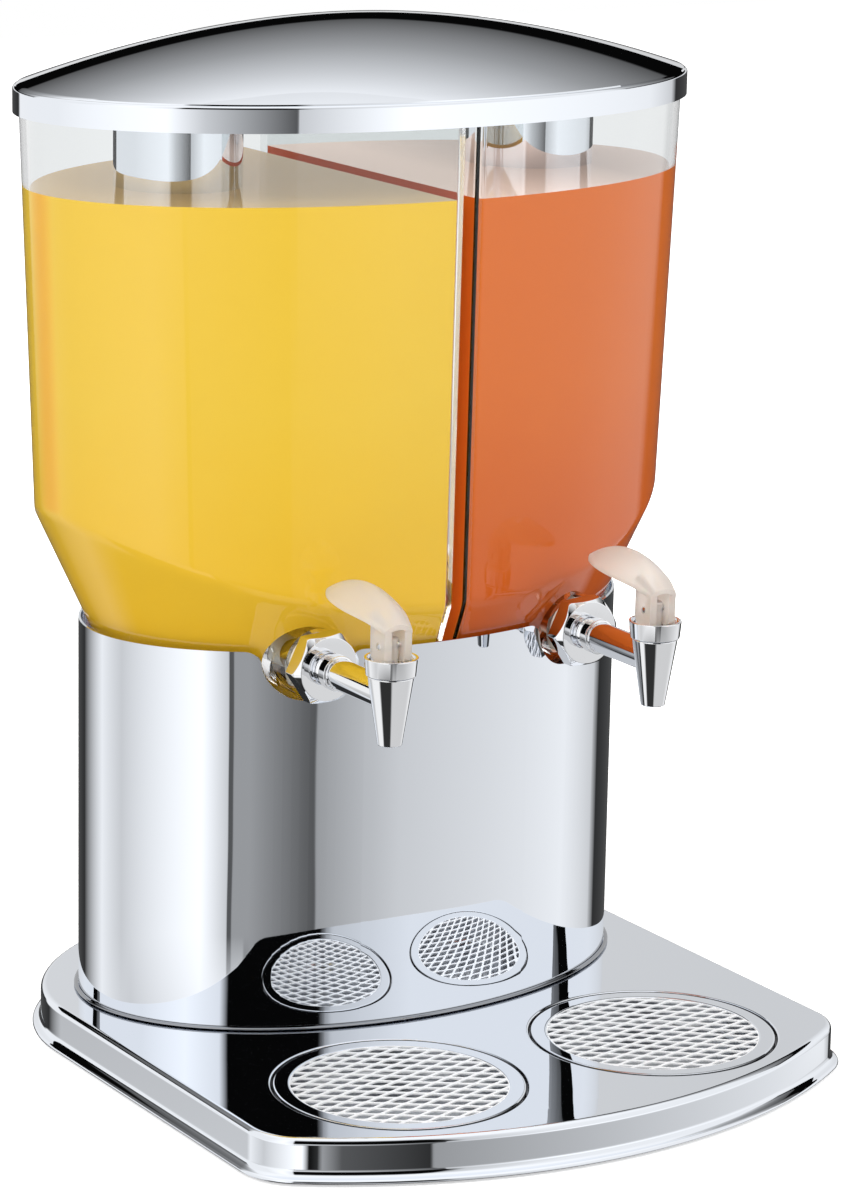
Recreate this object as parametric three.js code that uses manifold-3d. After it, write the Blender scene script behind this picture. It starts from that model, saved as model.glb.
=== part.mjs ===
// A double juice dispenser for a buffet: two clear half-oval tanks stand side by side in an oval steel
// column on a wide drip base. Each tank has its own tap, and one domed lid covers both and carries two
// tubes of ice that reach down into the juice.
// Millimetres, +Z up, the taps face -Y. Heights are measured from the table. Depths are measured from the
// column's axis, and the whole product is then moved so that its footprint is centred on the origin.

import * as THREE from "three";
import { mergeVertices } from "three/addons/utils/BufferGeometryUtils.js";
import Module from "manifold-3d";

const wasm = await Module();
wasm.setup();

// Clearances
const GAP = 0.3; // between pieces that seat on each other
const RUNNING_GAP = 0.4; // round pieces that slide or turn
const OVERRUN = 3; // how far a cutter runs past what it cuts

// Facets
const OVAL_STEPS = 36;
const BASE_ARC_STEPS = 16;
const CORNER_STEPS = 4;
const WELL_STEPS = 24;
const TUBE_STEPS = 20;
const TAP_STEPS = 16;
const SMALL_STEPS = 12;

// Base tray
const BASE_TOP = 22;
const BASE_HALF_WIDTH = 163;
const BASE_REAR_DEPTH = 119;
const BASE_FRONT_DEPTH = 252;
const BASE_FRONT_RADIUS = 271;
const BASE_CORNER_RADIUS = 28;
const BASE_SHEET = 1.5;
const BASE_EDGE_RADIUS = 3.2;
const BASE_LIFT = 1.5; // from the table to the tray's lip
const BASE_LIP_REACH = 4.1;
const BASE_LIP_THICKNESS = 2.1;
const BASE_WALL_FLARE = 1.2;

// Feet
const FOOT_RADIUS = 9;
const FOOT_TAPER = 1.5;
const FOOT_FRONT_X = 146;
const FOOT_FRONT_Y = -178;
const FOOT_REAR_X = 100;
const FOOT_REAR_Y = 72;

// Drip wells, cups and grilles
const WELL_X = 72.4;
const WELL_Y = -168.4;
const WELL_RADIUS = 60.3;
const WELL_LEDGE_WIDTH = 5.3;
const WELL_LEDGE_DEPTH = 2.8; // below the tray's top
const WELL_SHEET = 1.2;
const CUP_SHEET = 1;
const CUP_BOTTOM = 6;
const CUP_CORNER = 3;
const GRILLE_OUTER_RADIUS = 59.5;
const GRILLE_INNER_RADIUS = 51.4;
const GRILLE_RING_BEVEL = 0.4;
const MESH_THICKNESS = 0.8;
const MESH_DROP = 0.3; // from the ring's top to the mesh
const MESH_LONG_PITCH = 16.4;
const MESH_SHORT_PITCH = 8.2;
const MESH_STRAND = 1.9;
const MESH_TURN_LEFT = -8;
const MESH_TURN_RIGHT = -13;

// Column
const COLUMN_HALF_WIDTH = 145;
const COLUMN_HALF_DEPTH = 95.3;
const COLUMN_SHEET = 1.2;
const COLUMN_HEIGHT = 189; // over the base
const SLOT_RADIUS = 20;
const SLOT_EDGE_RADIUS = 7;
const FOOT_RING_HEIGHT = 1.4;
const FOOT_RING_BULGE = 2.2;

// Shelf inside the column
const SHELF_DROP = 31.6; // below the column's top
const SHELF_SHEET = 2;
const SHELF_RIM_HEIGHT = 14;

// Tanks
const TANK_WALL = 3.5;
const TANK_FLOOR = 4.5;
const TANK_HALF_GAP = 3;
const TANK_CORNER_RADIUS = 4.5;
const TANK_TOP_HALF_WIDTH = 176.9;
const TANK_TOP_HALF_DEPTH = 103.9;
const TANK_HEIGHT = 290.2;
const TANK_WAIST_RISE = 60; // from the column's top to where the bevel starts at the sides
const TANK_WAIST_HALF_WIDTH = 169.2;
const TANK_WAIST_HALF_DEPTH = 100.9;
const BEVEL_HIGH_HALF_DEPTH = 117.8; // the bevel's own section at the waist
const BEVEL_LOW_HALF_WIDTH = 140.9; // and at the column's top
const BEVEL_LOW_HALF_DEPTH = 92.8;
const TANK_FOOT_CHAMFER = 3;

// Lid
const LID_HALF_WIDTH = 179.6;
const LID_HALF_DEPTH = 106.7;
const LID_BAND_DROP = 10.9; // the band's lower and upper edge from the seat
const LID_BAND_RISE = 1.5;
const LID_EDGE_BEVEL = 0.8;
const LID_SHEET = 1.2;
const LID_RISE = 30;
const DOME_POWER = 1.9;
const DOME_RING_shares = [0.94, 0.8, 0.6, 0.32];
const LID_SEAT_share = 0.955;

// Cooling tubes
const ICE_INSET = 80.6; // from the lid's side to a tube's axis
const ICE_RADIUS = 30.8;
const ICE_SHEET = 1;
const ICE_LENGTH = 195;
const ICE_BOTTOM_CORNER = 5;
const ICE_RISE = 4.8; // over the lid's seat
const COLLAR_DROP = 4.2; // under it
const COLLAR_WALL = 3;
const COLLAR_LIP_HEIGHT = 2.2;
const BAYONET_PLAY = 0.7; // round the lugs
const LUG_REACH = 1.8;
const LUG_HEIGHT = 2.2;
const LUG_COUNT = 3;
const LUG_SWEEP = 30;
const SLOT_SWEEP = 40;
const ICE_TURN = 50;
const SEAL_HEIGHT = 2;

// Taps, with y from the column's axis and heights from the tap's own axis
const TAP_DROP = 4; // below the column's top
const TAP_X = 74;
const BOSS_RADIUS = 17;
const BOSS_FRONT = -89.9;
const BOSS_BACK = -66.5;
const SPOT_FACE_RADIUS = 15.5;
const SPOT_FACE_DEPTH = 14;
const SHANK_RADIUS = 7.5;
const SHANK_BORE_RADIUS = 5.6;
const SHANK_FLANGE_RADIUS = 14.5;
const SHANK_FLANGE_THICKNESS = 3;
const SHANK_END = -105.7;
const THREAD_PITCH = 1.75;
const THREAD_DEPTH = 0.8;
const THREAD_TURNS = 2;
const GASKET_THICKNESS = 2;
const OUTER_GASKET_RADIUS = 15.5;
const NUT_ACROSS_FLATS = 32;
const NUT_SIDES = 6;
const NUT_THICKNESS = 9.6;
const NUT_CHAMFER = 2.6;
const NUT_TURN = 4;
const SPOUT_RADIUS = 7.5;
const SPOUT_BORE_RADIUS = 3.8;
const SPOUT_COLLAR_RADIUS = 8.6;
const SPOUT_COLLAR_LENGTH = 5.5;
const SPIGOT_RADIUS = 5.3; // inside the shank
const SPIGOT_END = -94;
const VALVE_Y = -157;
const VALVE_TOP = 10.2;
const VALVE_TOP_RADIUS = 11.1;
const VALVE_TIP = -23;
const VALVE_TIP_RADIUS = 5.8;
const VALVE_WALL = 1.6;
const OUTLET_RADIUS = 3.6;
const SEAT_HEIGHT = -18.3;
const BONNET_RADIUS = 12.7;
const BONNET_FOOT_RADIUS = 11.9;
const BONNET_TOP = 19;
const BONNET_RIM = 1.4;
const BONNET_FLOOR_THICKNESS = 3;
const BONNET_SPIGOT_DEPTH = 4;
const BONNET_SPIGOT_WALL = 1.5;
const STEM_RADIUS = 3.1;
const STEM_BOTTOM = -12;
const STEM_TOP_OVER_PIN = 4.2;
const CUP_NECK_HEIGHT = -7;
const CUP_LIP_RADIUS = 4.6;
const CUP_NECK_RADIUS = 5.4;
const CUP_NECK_CHAMFER = 1.2;
const PIN_HEIGHT = 24.5;
const PIN_RADIUS = 1.4;

// Lever, with y and z from its pin
const CHEEK_INNER = 3.5;
const CHEEK_OUTER = 7.3;
const CHEEK_REAR = 6.8;
const CHEEK_FOOT = 7.4; // the flat that stands on the bonnet, below the pin
const HEEL_RADIUS = 2; // the corner that lifts the stem
const CHEEK_REAR_RADIUS = 4;
const PADDLE_FRONT = -6.1;
const PADDLE_LENGTH = 57.7;
const PADDLE_WIDTH = 27;
const PADDLE_ARCH = 9;
const PADDLE_THICKNESS = 2.4;
const PADDLE_FRONT_HEIGHT = 10.8;
const PADDLE_CREST_HEIGHT = 23.8;
const PADDLE_TIP_HEIGHT = 16.8;
const PADDLE_ROWS = 8;
const PADDLE_COLUMNS = 6;

// Places and heights that follow from these
const iceX = LID_HALF_WIDTH - ICE_INSET;
const columnTop = BASE_TOP + COLUMN_HEIGHT;
const shelfTop = columnTop - SHELF_DROP;
const tapHeight = columnTop - TAP_DROP;
const tankBottom = shelfTop + GAP;
const tankWaist = columnTop + TANK_WAIST_RISE;
const tankTop = tankBottom + TANK_HEIGHT;
const lidSeat = tankTop + GAP;
const lidBandBottom = lidSeat - LID_BAND_DROP;
const lidBandTop = lidSeat + LID_BAND_RISE;
const iceTop = lidSeat + ICE_RISE;
const iceBottom = iceTop - ICE_LENGTH;
const collarBottom = lidSeat - COLLAR_DROP;

// Materials
const finish = (color, roughness, metalness, opacity = 1) =>
  new THREE.MeshStandardMaterial({ color, roughness, metalness, opacity, transparent: opacity < 1 });
const polishedSteel = finish(0xdfe2e6, 0.06, 1);
const satinSteel = finish(0xb9bcc0, 0.3, 1);
const chrome = finish(0xe6e8ea, 0.04, 1);
const clearPlastic = finish(0xf4f7f8, 0.05, 0, 0.3);
const frostedPlastic = finish(0xe6d9c4, 0.45, 0, 0.8);
const silicone = finish(0xd9d6cc, 0.6, 0);
const blackRubber = finish(0x1c1c1e, 0.8, 0);

// Solids

const product = new THREE.Group();
product.position.y = (BASE_FRONT_DEPTH - BASE_REAR_DEPTH) / 2;

function addPiece(name, solid, material, parent = product) {
  const mesh = new THREE.Mesh(toGeometry(solid), material);
  mesh.name = name;
  parent.add(mesh);
  return mesh;
}

function toSolid(geometry) {
  const plain = geometry.index ? geometry.toNonIndexed() : geometry.clone();
  plain.deleteAttribute("normal");
  plain.deleteAttribute("uv");
  const merged = mergeVertices(plain, 1e-4);
  const kept = [];
  for (let i = 0; i < merged.index.count; i += 3) {
    const [a, b, c] = [merged.index.getX(i), merged.index.getX(i + 1), merged.index.getX(i + 2)];
    if (a !== b && b !== c && c !== a) kept.push(a, b, c);
  }
  const mesh = new wasm.Mesh({
    numProp: 3,
    vertProperties: new Float32Array(merged.attributes.position.array),
    triVerts: new Uint32Array(kept),
  });
  return new wasm.Manifold(mesh);
}

function toGeometry(solid) {
  const { numProp, numVert, vertProperties, triVerts } = solid.getMesh();
  const positions = new Float32Array(numVert * 3);
  for (let i = 0; i < numVert; i += 1) {
    positions.set(vertProperties.subarray(i * numProp, i * numProp + 3), i * 3);
  }
  const geometry = new THREE.BufferGeometry();
  geometry.setAttribute("position", new THREE.BufferAttribute(positions, 3));
  geometry.setIndex(new THREE.BufferAttribute(triVerts, 1));
  geometry.computeVertexNormals();
  return geometry;
}

const join = (...solids) => solids.reduce((sum, next) => sum.add(next));
const cut = (solid, ...cutters) => cutters.reduce((rest, cutter) => rest.subtract(cutter), solid);

function fromTriangles(triangles) {
  const geometry = new THREE.BufferGeometry();
  const positions = triangles.flatMap((corner) => corner.toArray());
  geometry.setAttribute("position", new THREE.Float32BufferAttribute(positions, 3));
  return toSolid(geometry);
}

// A closed solid through level rings of equally many points, counterclockwise from above, lowest first.
// A ring of one point is a peak.
function loft(rings) {
  const triangles = [];
  const addCap = (ring, facesUp) => {
    const flat = ring.map((point) => new THREE.Vector2(point.x, point.y));
    for (const [a, b, c] of THREE.ShapeUtils.triangulateShape(flat, [])) {
      triangles.push(ring[a], ring[facesUp ? b : c], ring[facesUp ? c : b]);
    }
  };
  for (let level = 1; level < rings.length; level += 1) {
    const [low, high] = [rings[level - 1], rings[level]];
    low.forEach((point, i) => {
      const next = (i + 1) % low.length;
      const peak = high.length === 1;
      triangles.push(point, low[next], peak ? high[0] : high[next]);
      if (!peak) triangles.push(point, high[next], high[i]);
    });
  }
  addCap(rings[0], false);
  if (rings.at(-1).length > 1) addCap(rings.at(-1), true);
  return fromTriangles(triangles);
}

const atHeight = (outline, height) => outline.map((point) => new THREE.Vector3(point.x, point.y, height));

function arc(centreX, centreY, radius, fromDegrees, toDegrees, steps) {
  return Array.from({ length: steps + 1 }, (_, i) => {
    const angle = THREE.MathUtils.degToRad(fromDegrees + ((toDegrees - fromDegrees) * i) / steps);
    return new THREE.Vector2(centreX + radius * Math.cos(angle), centreY + radius * Math.sin(angle));
  });
}

function oval(halfWidth, halfDepth, steps = OVAL_STEPS) {
  return Array.from({ length: steps }, (_, i) => {
    const angle = (2 * Math.PI * i) / steps;
    return new THREE.Vector2(halfWidth * Math.cos(angle), halfDepth * Math.sin(angle));
  });
}

// A closed band round an oval, from a closed profile of [offset from the oval, height].
function ovalBand(halfWidth, halfDepth, profile) {
  const flat = profile.map(([offset, height]) => new THREE.Vector2(offset, height));
  const ordered = THREE.ShapeUtils.isClockWise(flat) ? [...profile].reverse() : profile;
  const rings = ordered.map(([offset, height]) =>
    atHeight(oval(halfWidth + offset, halfDepth + offset), height),
  );
  const triangles = [];
  rings.forEach((ring, level) => {
    const above = rings[(level + 1) % rings.length];
    ring.forEach((point, i) => {
      const next = (i + 1) % ring.length;
      triangles.push(point, ring[next], above[next], point, above[next], above[i]);
    });
  });
  return fromTriangles(triangles);
}

// A turned solid, from a profile of [radius, height], about +Z or about +Y.
function turned(profile, steps, axis = "z") {
  const points = profile.map(([radius, height]) => new THREE.Vector2(radius, height));
  if (THREE.ShapeUtils.isClockWise(points)) points.reverse();
  const touchesAxis = points.some((point) => point.x === 0);
  if (touchesAxis) {
    while (points[0].x !== 0 || points.at(-1).x !== 0) points.push(points.shift());
  } else {
    points.push(points[0].clone());
  }
  const geometry = new THREE.LatheGeometry(points, steps);
  if (axis === "z") geometry.rotateX(Math.PI / 2);
  return toSolid(geometry);
}

const tube = (inner, outer, low, high, steps, axis = "z") =>
  turned([[inner, low], [outer, low], [outer, high], [inner, high]], steps, axis);
const rod = (radius, low, high, steps, axis = "z") =>
  turned([[0, low], [radius, low], [radius, high], [0, high]], steps, axis);

function prism(shape, low, high) {
  const geometry = new THREE.ExtrudeGeometry(shape, { depth: high - low, bevelEnabled: false, curveSegments: 6 });
  geometry.translate(0, 0, low);
  return toSolid(geometry);
}

// Turns a prism drawn in x and y so that its drawing lies in y and z and it runs along x.
function prismAlongX(shape, low, high) {
  const turn = new THREE.Matrix4().makeBasis(
    new THREE.Vector3(0, 1, 0),
    new THREE.Vector3(0, 0, 1),
    new THREE.Vector3(1, 0, 0),
  );
  return toSolid(toGeometry(prism(shape, low, high)).applyMatrix4(turn));
}

// The same for a drawing in x and z that runs along y.
function prismAlongY(shape, low, high) {
  const turn = new THREE.Matrix4().makeRotationX(Math.PI / 2);
  return toSolid(toGeometry(prism(shape, -high, -low)).applyMatrix4(turn));
}

function ringSector(inner, outer, centreDegrees, sweepDegrees, low, high) {
  const half = sweepDegrees / 2;
  const outside = arc(0, 0, outer, centreDegrees - half, centreDegrees + half, CORNER_STEPS);
  const inside = arc(0, 0, inner, centreDegrees + half, centreDegrees - half, CORNER_STEPS);
  return prism(new THREE.Shape([...outside, ...inside]), low, high);
}

// Base tray

const frontArcCentreY = BASE_FRONT_RADIUS - BASE_FRONT_DEPTH;
const cornerX = BASE_HALF_WIDTH - BASE_CORNER_RADIUS;
const cornerReach = BASE_FRONT_RADIUS - BASE_CORNER_RADIUS;
const cornerY = frontArcCentreY - Math.sqrt(cornerReach ** 2 - cornerX ** 2);
const cornerDegrees = THREE.MathUtils.radToDeg(Math.acos(cornerX / cornerReach));

// The tray's plan, grown by an offset: an oval rear, straight sides, rounded corners and a bowed front.
function baseOutline(offset) {
  const rear = Array.from({ length: BASE_ARC_STEPS + 1 }, (_, i) => {
    const angle = (Math.PI * i) / BASE_ARC_STEPS;
    const x = (BASE_HALF_WIDTH + offset) * Math.cos(angle);
    return new THREE.Vector2(x, (BASE_REAR_DEPTH + offset) * Math.sin(angle));
  });
  const corner = BASE_CORNER_RADIUS + offset;
  const front = BASE_FRONT_RADIUS + offset;
  const left = arc(-cornerX, cornerY, corner, 180, 180 + cornerDegrees, CORNER_STEPS);
  const bow = arc(0, frontArcCentreY, front, 180 + cornerDegrees, 360 - cornerDegrees, BASE_ARC_STEPS / 2);
  const right = arc(cornerX, cornerY, corner, -cornerDegrees, 0, CORNER_STEPS);
  return [...rear, ...left, ...bow.slice(1, -1), ...right];
}

const baseRings = (profile) => profile.map(([offset, height]) => atHeight(baseOutline(offset), height));

function makeBaseTray() {
  const round = BASE_EDGE_RADIUS * (1 - Math.SQRT1_2);
  const lipTop = BASE_LIFT + BASE_LIP_THICKNESS;
  const wallTop = BASE_TOP - BASE_EDGE_RADIUS;
  const outside = loft(baseRings([
    [BASE_LIP_REACH, BASE_LIFT],
    [BASE_LIP_REACH, lipTop],
    [BASE_WALL_FLARE, lipTop + BASE_SHEET],
    [0, wallTop],
    [-round, BASE_TOP - round],
    [-BASE_EDGE_RADIUS, BASE_TOP],
  ]));
  const inside = loft(baseRings([
    [BASE_WALL_FLARE - BASE_SHEET, BASE_LIFT - OVERRUN],
    [-BASE_SHEET, wallTop],
    [-BASE_EDGE_RADIUS, BASE_TOP - BASE_SHEET],
  ]));
  let tray = cut(outside, inside);
  const ledge = BASE_TOP - WELL_LEDGE_DEPTH;
  for (const x of [-WELL_X, WELL_X]) {
    const opening = rod(WELL_RADIUS, ledge, BASE_TOP + OVERRUN, WELL_STEPS).translate([x, WELL_Y, 0]);
    const seat = turned([
      [WELL_RADIUS - WELL_LEDGE_WIDTH, ledge - WELL_SHEET],
      [WELL_RADIUS + WELL_SHEET, ledge - WELL_SHEET],
      [WELL_RADIUS + WELL_SHEET, BASE_TOP - BASE_SHEET / 2],
      [WELL_RADIUS, BASE_TOP - BASE_SHEET / 2],
      [WELL_RADIUS, ledge],
      [WELL_RADIUS - WELL_LEDGE_WIDTH, ledge],
    ], WELL_STEPS).translate([x, WELL_Y, 0]);
    tray = join(cut(tray, opening), seat);
  }
  return tray;
}

addPiece("base_tray", makeBaseTray(), polishedSteel);

const footTop = BASE_TOP - BASE_SHEET - GAP;
const foot = turned([
  [0, 0],
  [FOOT_RADIUS - FOOT_TAPER, 0],
  [FOOT_RADIUS, FOOT_TAPER],
  [FOOT_RADIUS, footTop],
  [0, footTop],
], SMALL_STEPS);
const footPlaces = {
  foot_front_left: [-FOOT_FRONT_X, FOOT_FRONT_Y],
  foot_front_right: [FOOT_FRONT_X, FOOT_FRONT_Y],
  foot_rear_left: [-FOOT_REAR_X, FOOT_REAR_Y],
  foot_rear_right: [FOOT_REAR_X, FOOT_REAR_Y],
};
for (const [name, [x, y]] of Object.entries(footPlaces)) {
  addPiece(name, foot, blackRubber).position.set(x, y, 0);
}

// Column and shelf

const columnBottom = BASE_TOP + GAP;

// The slot's round floor runs out into the column's top edge through a rounded corner on each side.
function slotShape() {
  const edgeZ = columnTop - SLOT_EDGE_RADIUS - tapHeight;
  const edgeX = Math.sqrt((SLOT_RADIUS + SLOT_EDGE_RADIUS) ** 2 - edgeZ ** 2);
  const lean = THREE.MathUtils.radToDeg(Math.atan2(edgeZ, edgeX));
  const floor = arc(0, tapHeight, SLOT_RADIUS, 180 - lean, 360 + lean, 3 * CORNER_STEPS);
  const right = arc(edgeX, tapHeight + edgeZ, SLOT_EDGE_RADIUS, 180 + lean, 90, CORNER_STEPS);
  const left = arc(-edgeX, tapHeight + edgeZ, SLOT_EDGE_RADIUS, 90, -lean, CORNER_STEPS);
  const above = columnTop + OVERRUN;
  const top = [new THREE.Vector2(edgeX, above), new THREE.Vector2(-edgeX, above)];
  return new THREE.Shape([...floor, ...right.slice(1), ...top, ...left.slice(0, -1)]);
}

function makeColumn() {
  const shell = ovalBand(COLUMN_HALF_WIDTH, COLUMN_HALF_DEPTH, [
    [0, columnBottom],
    [0, columnTop],
    [-COLUMN_SHEET, columnTop],
    [-COLUMN_SHEET, columnBottom],
  ]);
  const slot = prismAlongY(slotShape(), -COLUMN_HALF_DEPTH - OVERRUN, -COLUMN_HALF_DEPTH / 2);
  return cut(shell, slot.translate([-TAP_X, 0, 0]), slot.translate([TAP_X, 0, 0]));
}

addPiece("column_shell", makeColumn(), polishedSteel);

const ringTop = columnBottom + FOOT_RING_HEIGHT;
addPiece("column_foot_ring", ovalBand(COLUMN_HALF_WIDTH, COLUMN_HALF_DEPTH, [
  [GAP, columnBottom],
  [FOOT_RING_BULGE, columnBottom],
  [FOOT_RING_BULGE, columnBottom + FOOT_RING_HEIGHT / 2],
  [GAP, ringTop],
]), polishedSteel);

function makeShelf() {
  const inset = -COLUMN_SHEET - GAP;
  const plate = oval(COLUMN_HALF_WIDTH + inset, COLUMN_HALF_DEPTH + inset);
  const top = loft([atHeight(plate, shelfTop - SHELF_SHEET), atHeight(plate, shelfTop)]);
  const rim = ovalBand(COLUMN_HALF_WIDTH, COLUMN_HALF_DEPTH, [
    [inset, shelfTop - SHELF_RIM_HEIGHT],
    [inset, shelfTop - SHELF_SHEET / 2],
    [inset - SHELF_SHEET, shelfTop - SHELF_SHEET / 2],
    [inset - SHELF_SHEET, shelfTop - SHELF_RIM_HEIGHT],
  ]);
  return join(top, rim);
}

addPiece("tank_shelf", makeShelf(), satinSteel);

// Drip cups and grilles

const cupFlangeBottom = BASE_TOP - WELL_LEDGE_DEPTH + GAP;
const cupFlangeTop = cupFlangeBottom + CUP_SHEET;
const cupRadius = WELL_RADIUS - WELL_LEDGE_WIDTH - RUNNING_GAP;
const grilleBottom = cupFlangeTop + GAP;

const cup = turned([
  [0, CUP_BOTTOM],
  [cupRadius - CUP_CORNER, CUP_BOTTOM],
  [cupRadius, CUP_BOTTOM + CUP_CORNER],
  [cupRadius, cupFlangeBottom],
  [GRILLE_OUTER_RADIUS, cupFlangeBottom],
  [GRILLE_OUTER_RADIUS, cupFlangeTop],
  [cupRadius - CUP_SHEET, cupFlangeTop],
  [cupRadius - CUP_CORNER, CUP_BOTTOM + CUP_SHEET],
  [0, CUP_BOTTOM + CUP_SHEET],
], WELL_STEPS);

// The gaps of an expanded sheet: diamonds in rows, every second row moved along by half a pitch.
function meshGaps(low, high) {
  const halfLong = MESH_LONG_PITCH / 2 - MESH_STRAND;
  const halfShort = (halfLong * MESH_SHORT_PITCH) / MESH_LONG_PITCH;
  const reach = GRILLE_INNER_RADIUS - halfShort;
  const rows = Math.ceil((2 * reach) / MESH_SHORT_PITCH);
  const columns = Math.ceil(reach / MESH_LONG_PITCH);
  const corners = [[-halfLong, 0], [0, -halfShort], [halfLong, 0], [0, halfShort]];
  const shapes = [];
  for (let row = -rows; row <= rows; row += 1) {
    for (let column = -columns; column <= columns; column += 1) {
      const x = (column + (row % 2 === 0 ? 0 : 1 / 2)) * MESH_LONG_PITCH;
      const y = (row * MESH_SHORT_PITCH) / 2;
      if (Math.hypot(x, y) > reach) continue;
      shapes.push(new THREE.Shape(corners.map(([dx, dy]) => new THREE.Vector2(x + dx, y + dy))));
    }
  }
  return prism(shapes, low, high);
}

function makeGrille(turnDegrees) {
  const ring = turned([
    [GRILLE_INNER_RADIUS, grilleBottom],
    [GRILLE_OUTER_RADIUS, grilleBottom],
    [GRILLE_OUTER_RADIUS, BASE_TOP - GRILLE_RING_BEVEL],
    [GRILLE_OUTER_RADIUS - GRILLE_RING_BEVEL, BASE_TOP],
    [GRILLE_INNER_RADIUS + GRILLE_RING_BEVEL, BASE_TOP],
    [GRILLE_INNER_RADIUS, BASE_TOP - GRILLE_RING_BEVEL],
  ], WELL_STEPS);
  const meshTop = BASE_TOP - MESH_DROP;
  const meshBottom = meshTop - MESH_THICKNESS;
  const openDisc = rod(GRILLE_INNER_RADIUS - MESH_STRAND / 2, meshBottom - OVERRUN, BASE_TOP, WELL_STEPS);
  const gaps = meshGaps(meshBottom - OVERRUN, BASE_TOP).rotate([0, 0, turnDegrees]).intersect(openDisc);
  const sheet = rod(GRILLE_INNER_RADIUS + MESH_STRAND, meshBottom, meshTop, WELL_STEPS);
  return join(ring, cut(sheet, gaps));
}

for (const [side, x, turnDegrees] of [["left", -WELL_X, MESH_TURN_LEFT], ["right", WELL_X, MESH_TURN_RIGHT]]) {
  addPiece("drip_cup_" + side, cup, satinSteel).position.set(x, WELL_Y, 0);
  addPiece("drip_grille_" + side, makeGrille(turnDegrees), polishedSteel).position.set(x, WELL_Y, 0);
}

// Tanks


// The plan of the right tank: half an oval, with rounded corners where its flat wall meets it.
function tankOutline(halfWidth, halfDepth, inset) {
  const corner = TANK_CORNER_RADIUS - inset;
  const flatX = TANK_HALF_GAP + inset;
  const [width, depth] = [halfWidth - inset, halfDepth - inset];
  const start = Math.acos((flatX + corner) / width);
  const cornerCentreY = depth * Math.sin(start) - corner;
  const front = arc(flatX + corner, -cornerCentreY, corner, 180, 270, CORNER_STEPS);
  const steps = OVAL_STEPS / 2;
  const wall = Array.from({ length: steps - 1 }, (_, i) => {
    const angle = start * ((2 * (i + 1)) / steps - 1);
    return new THREE.Vector2(width * Math.cos(angle), depth * Math.sin(angle));
  });
  const rear = arc(flatX + corner, cornerCentreY, corner, 90, 180, CORNER_STEPS);
  return [...front, ...wall, ...rear];
}

// A straight run of sections through two known ones, each [height, half width, half depth].
function taperedHalf(low, high, bottom, top, inset) {
  const section = (height) => {
    const share = (height - low[0]) / (high[0] - low[0]);
    const halfWidth = low[1] + (high[1] - low[1]) * share;
    const halfDepth = low[2] + (high[2] - low[2]) * share;
    return atHeight(tankOutline(halfWidth, halfDepth, inset), height);
  };
  return loft([section(bottom), section(top)]);
}

const waist = [tankWaist, TANK_WAIST_HALF_WIDTH, TANK_WAIST_HALF_DEPTH];
const rim = [tankTop, TANK_TOP_HALF_WIDTH, TANK_TOP_HALF_DEPTH];
const bevelLow = [columnTop, BEVEL_LOW_HALF_WIDTH, BEVEL_LOW_HALF_DEPTH];
const bevelHigh = [tankWaist, TANK_WAIST_HALF_WIDTH, BEVEL_HIGH_HALF_DEPTH];

// The tank's body is the common part of the upright tapered half oval and of the steep bevel below it.
function tankForm(inset, bottom, top) {
  const body = taperedHalf(waist, rim, bottom, top, inset);
  const bevel = taperedHalf(bevelLow, bevelHigh, bottom, top, inset);
  return body.intersect(bevel);
}

// A round pad through the wall gives the gaskets a flat face outside and a spot face inside.
function makeTankRight() {
  const outside = tankForm(0, tankBottom, tankTop);
  const inside = tankForm(TANK_WALL, tankBottom + TANK_FLOOR, tankTop + OVERRUN);
  const boss = rod(BOSS_RADIUS, BOSS_FRONT, BOSS_BACK, TUBE_STEPS, "y");
  const spotFace = rod(SPOT_FACE_RADIUS, BOSS_BACK, BOSS_BACK + SPOT_FACE_DEPTH, TUBE_STEPS, "y");
  const hole = rod(SHANK_RADIUS + GAP, BOSS_FRONT - OVERRUN, BOSS_BACK + OVERRUN, SMALL_STEPS, "y");
  const [pad, ...cutters] = [boss, spotFace, hole].map((solid) => solid.translate([TAP_X, 0, tapHeight]));
  return cut(join(cut(outside, inside), pad), ...cutters);
}

const tankRight = makeTankRight();
addPiece("tank_right", tankRight, clearPlastic);
addPiece("tank_left", tankRight.mirror([1, 0, 0]), clearPlastic);

// Lid

const domeHeight = (share) => lidBandTop + LID_RISE * (1 - share ** DOME_POWER);
const lidRing = (share, drop) =>
  atHeight(oval(LID_HALF_WIDTH * share, LID_HALF_DEPTH * share), domeHeight(share) - drop);

// Everything under the dome's inner face, down to a given height.
function domeHollow(bottom, drop) {
  const shares = DOME_RING_shares.filter((share) => share < LID_SEAT_share);
  const edge = oval(LID_HALF_WIDTH * LID_SEAT_share, LID_HALF_DEPTH * LID_SEAT_share);
  const peak = [new THREE.Vector3(0, 0, domeHeight(0) - drop)];
  const domeRings = shares.map((share) => lidRing(share, drop));
  return loft([atHeight(edge, bottom), lidRing(LID_SEAT_share, drop), ...domeRings, peak]);
}

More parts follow.
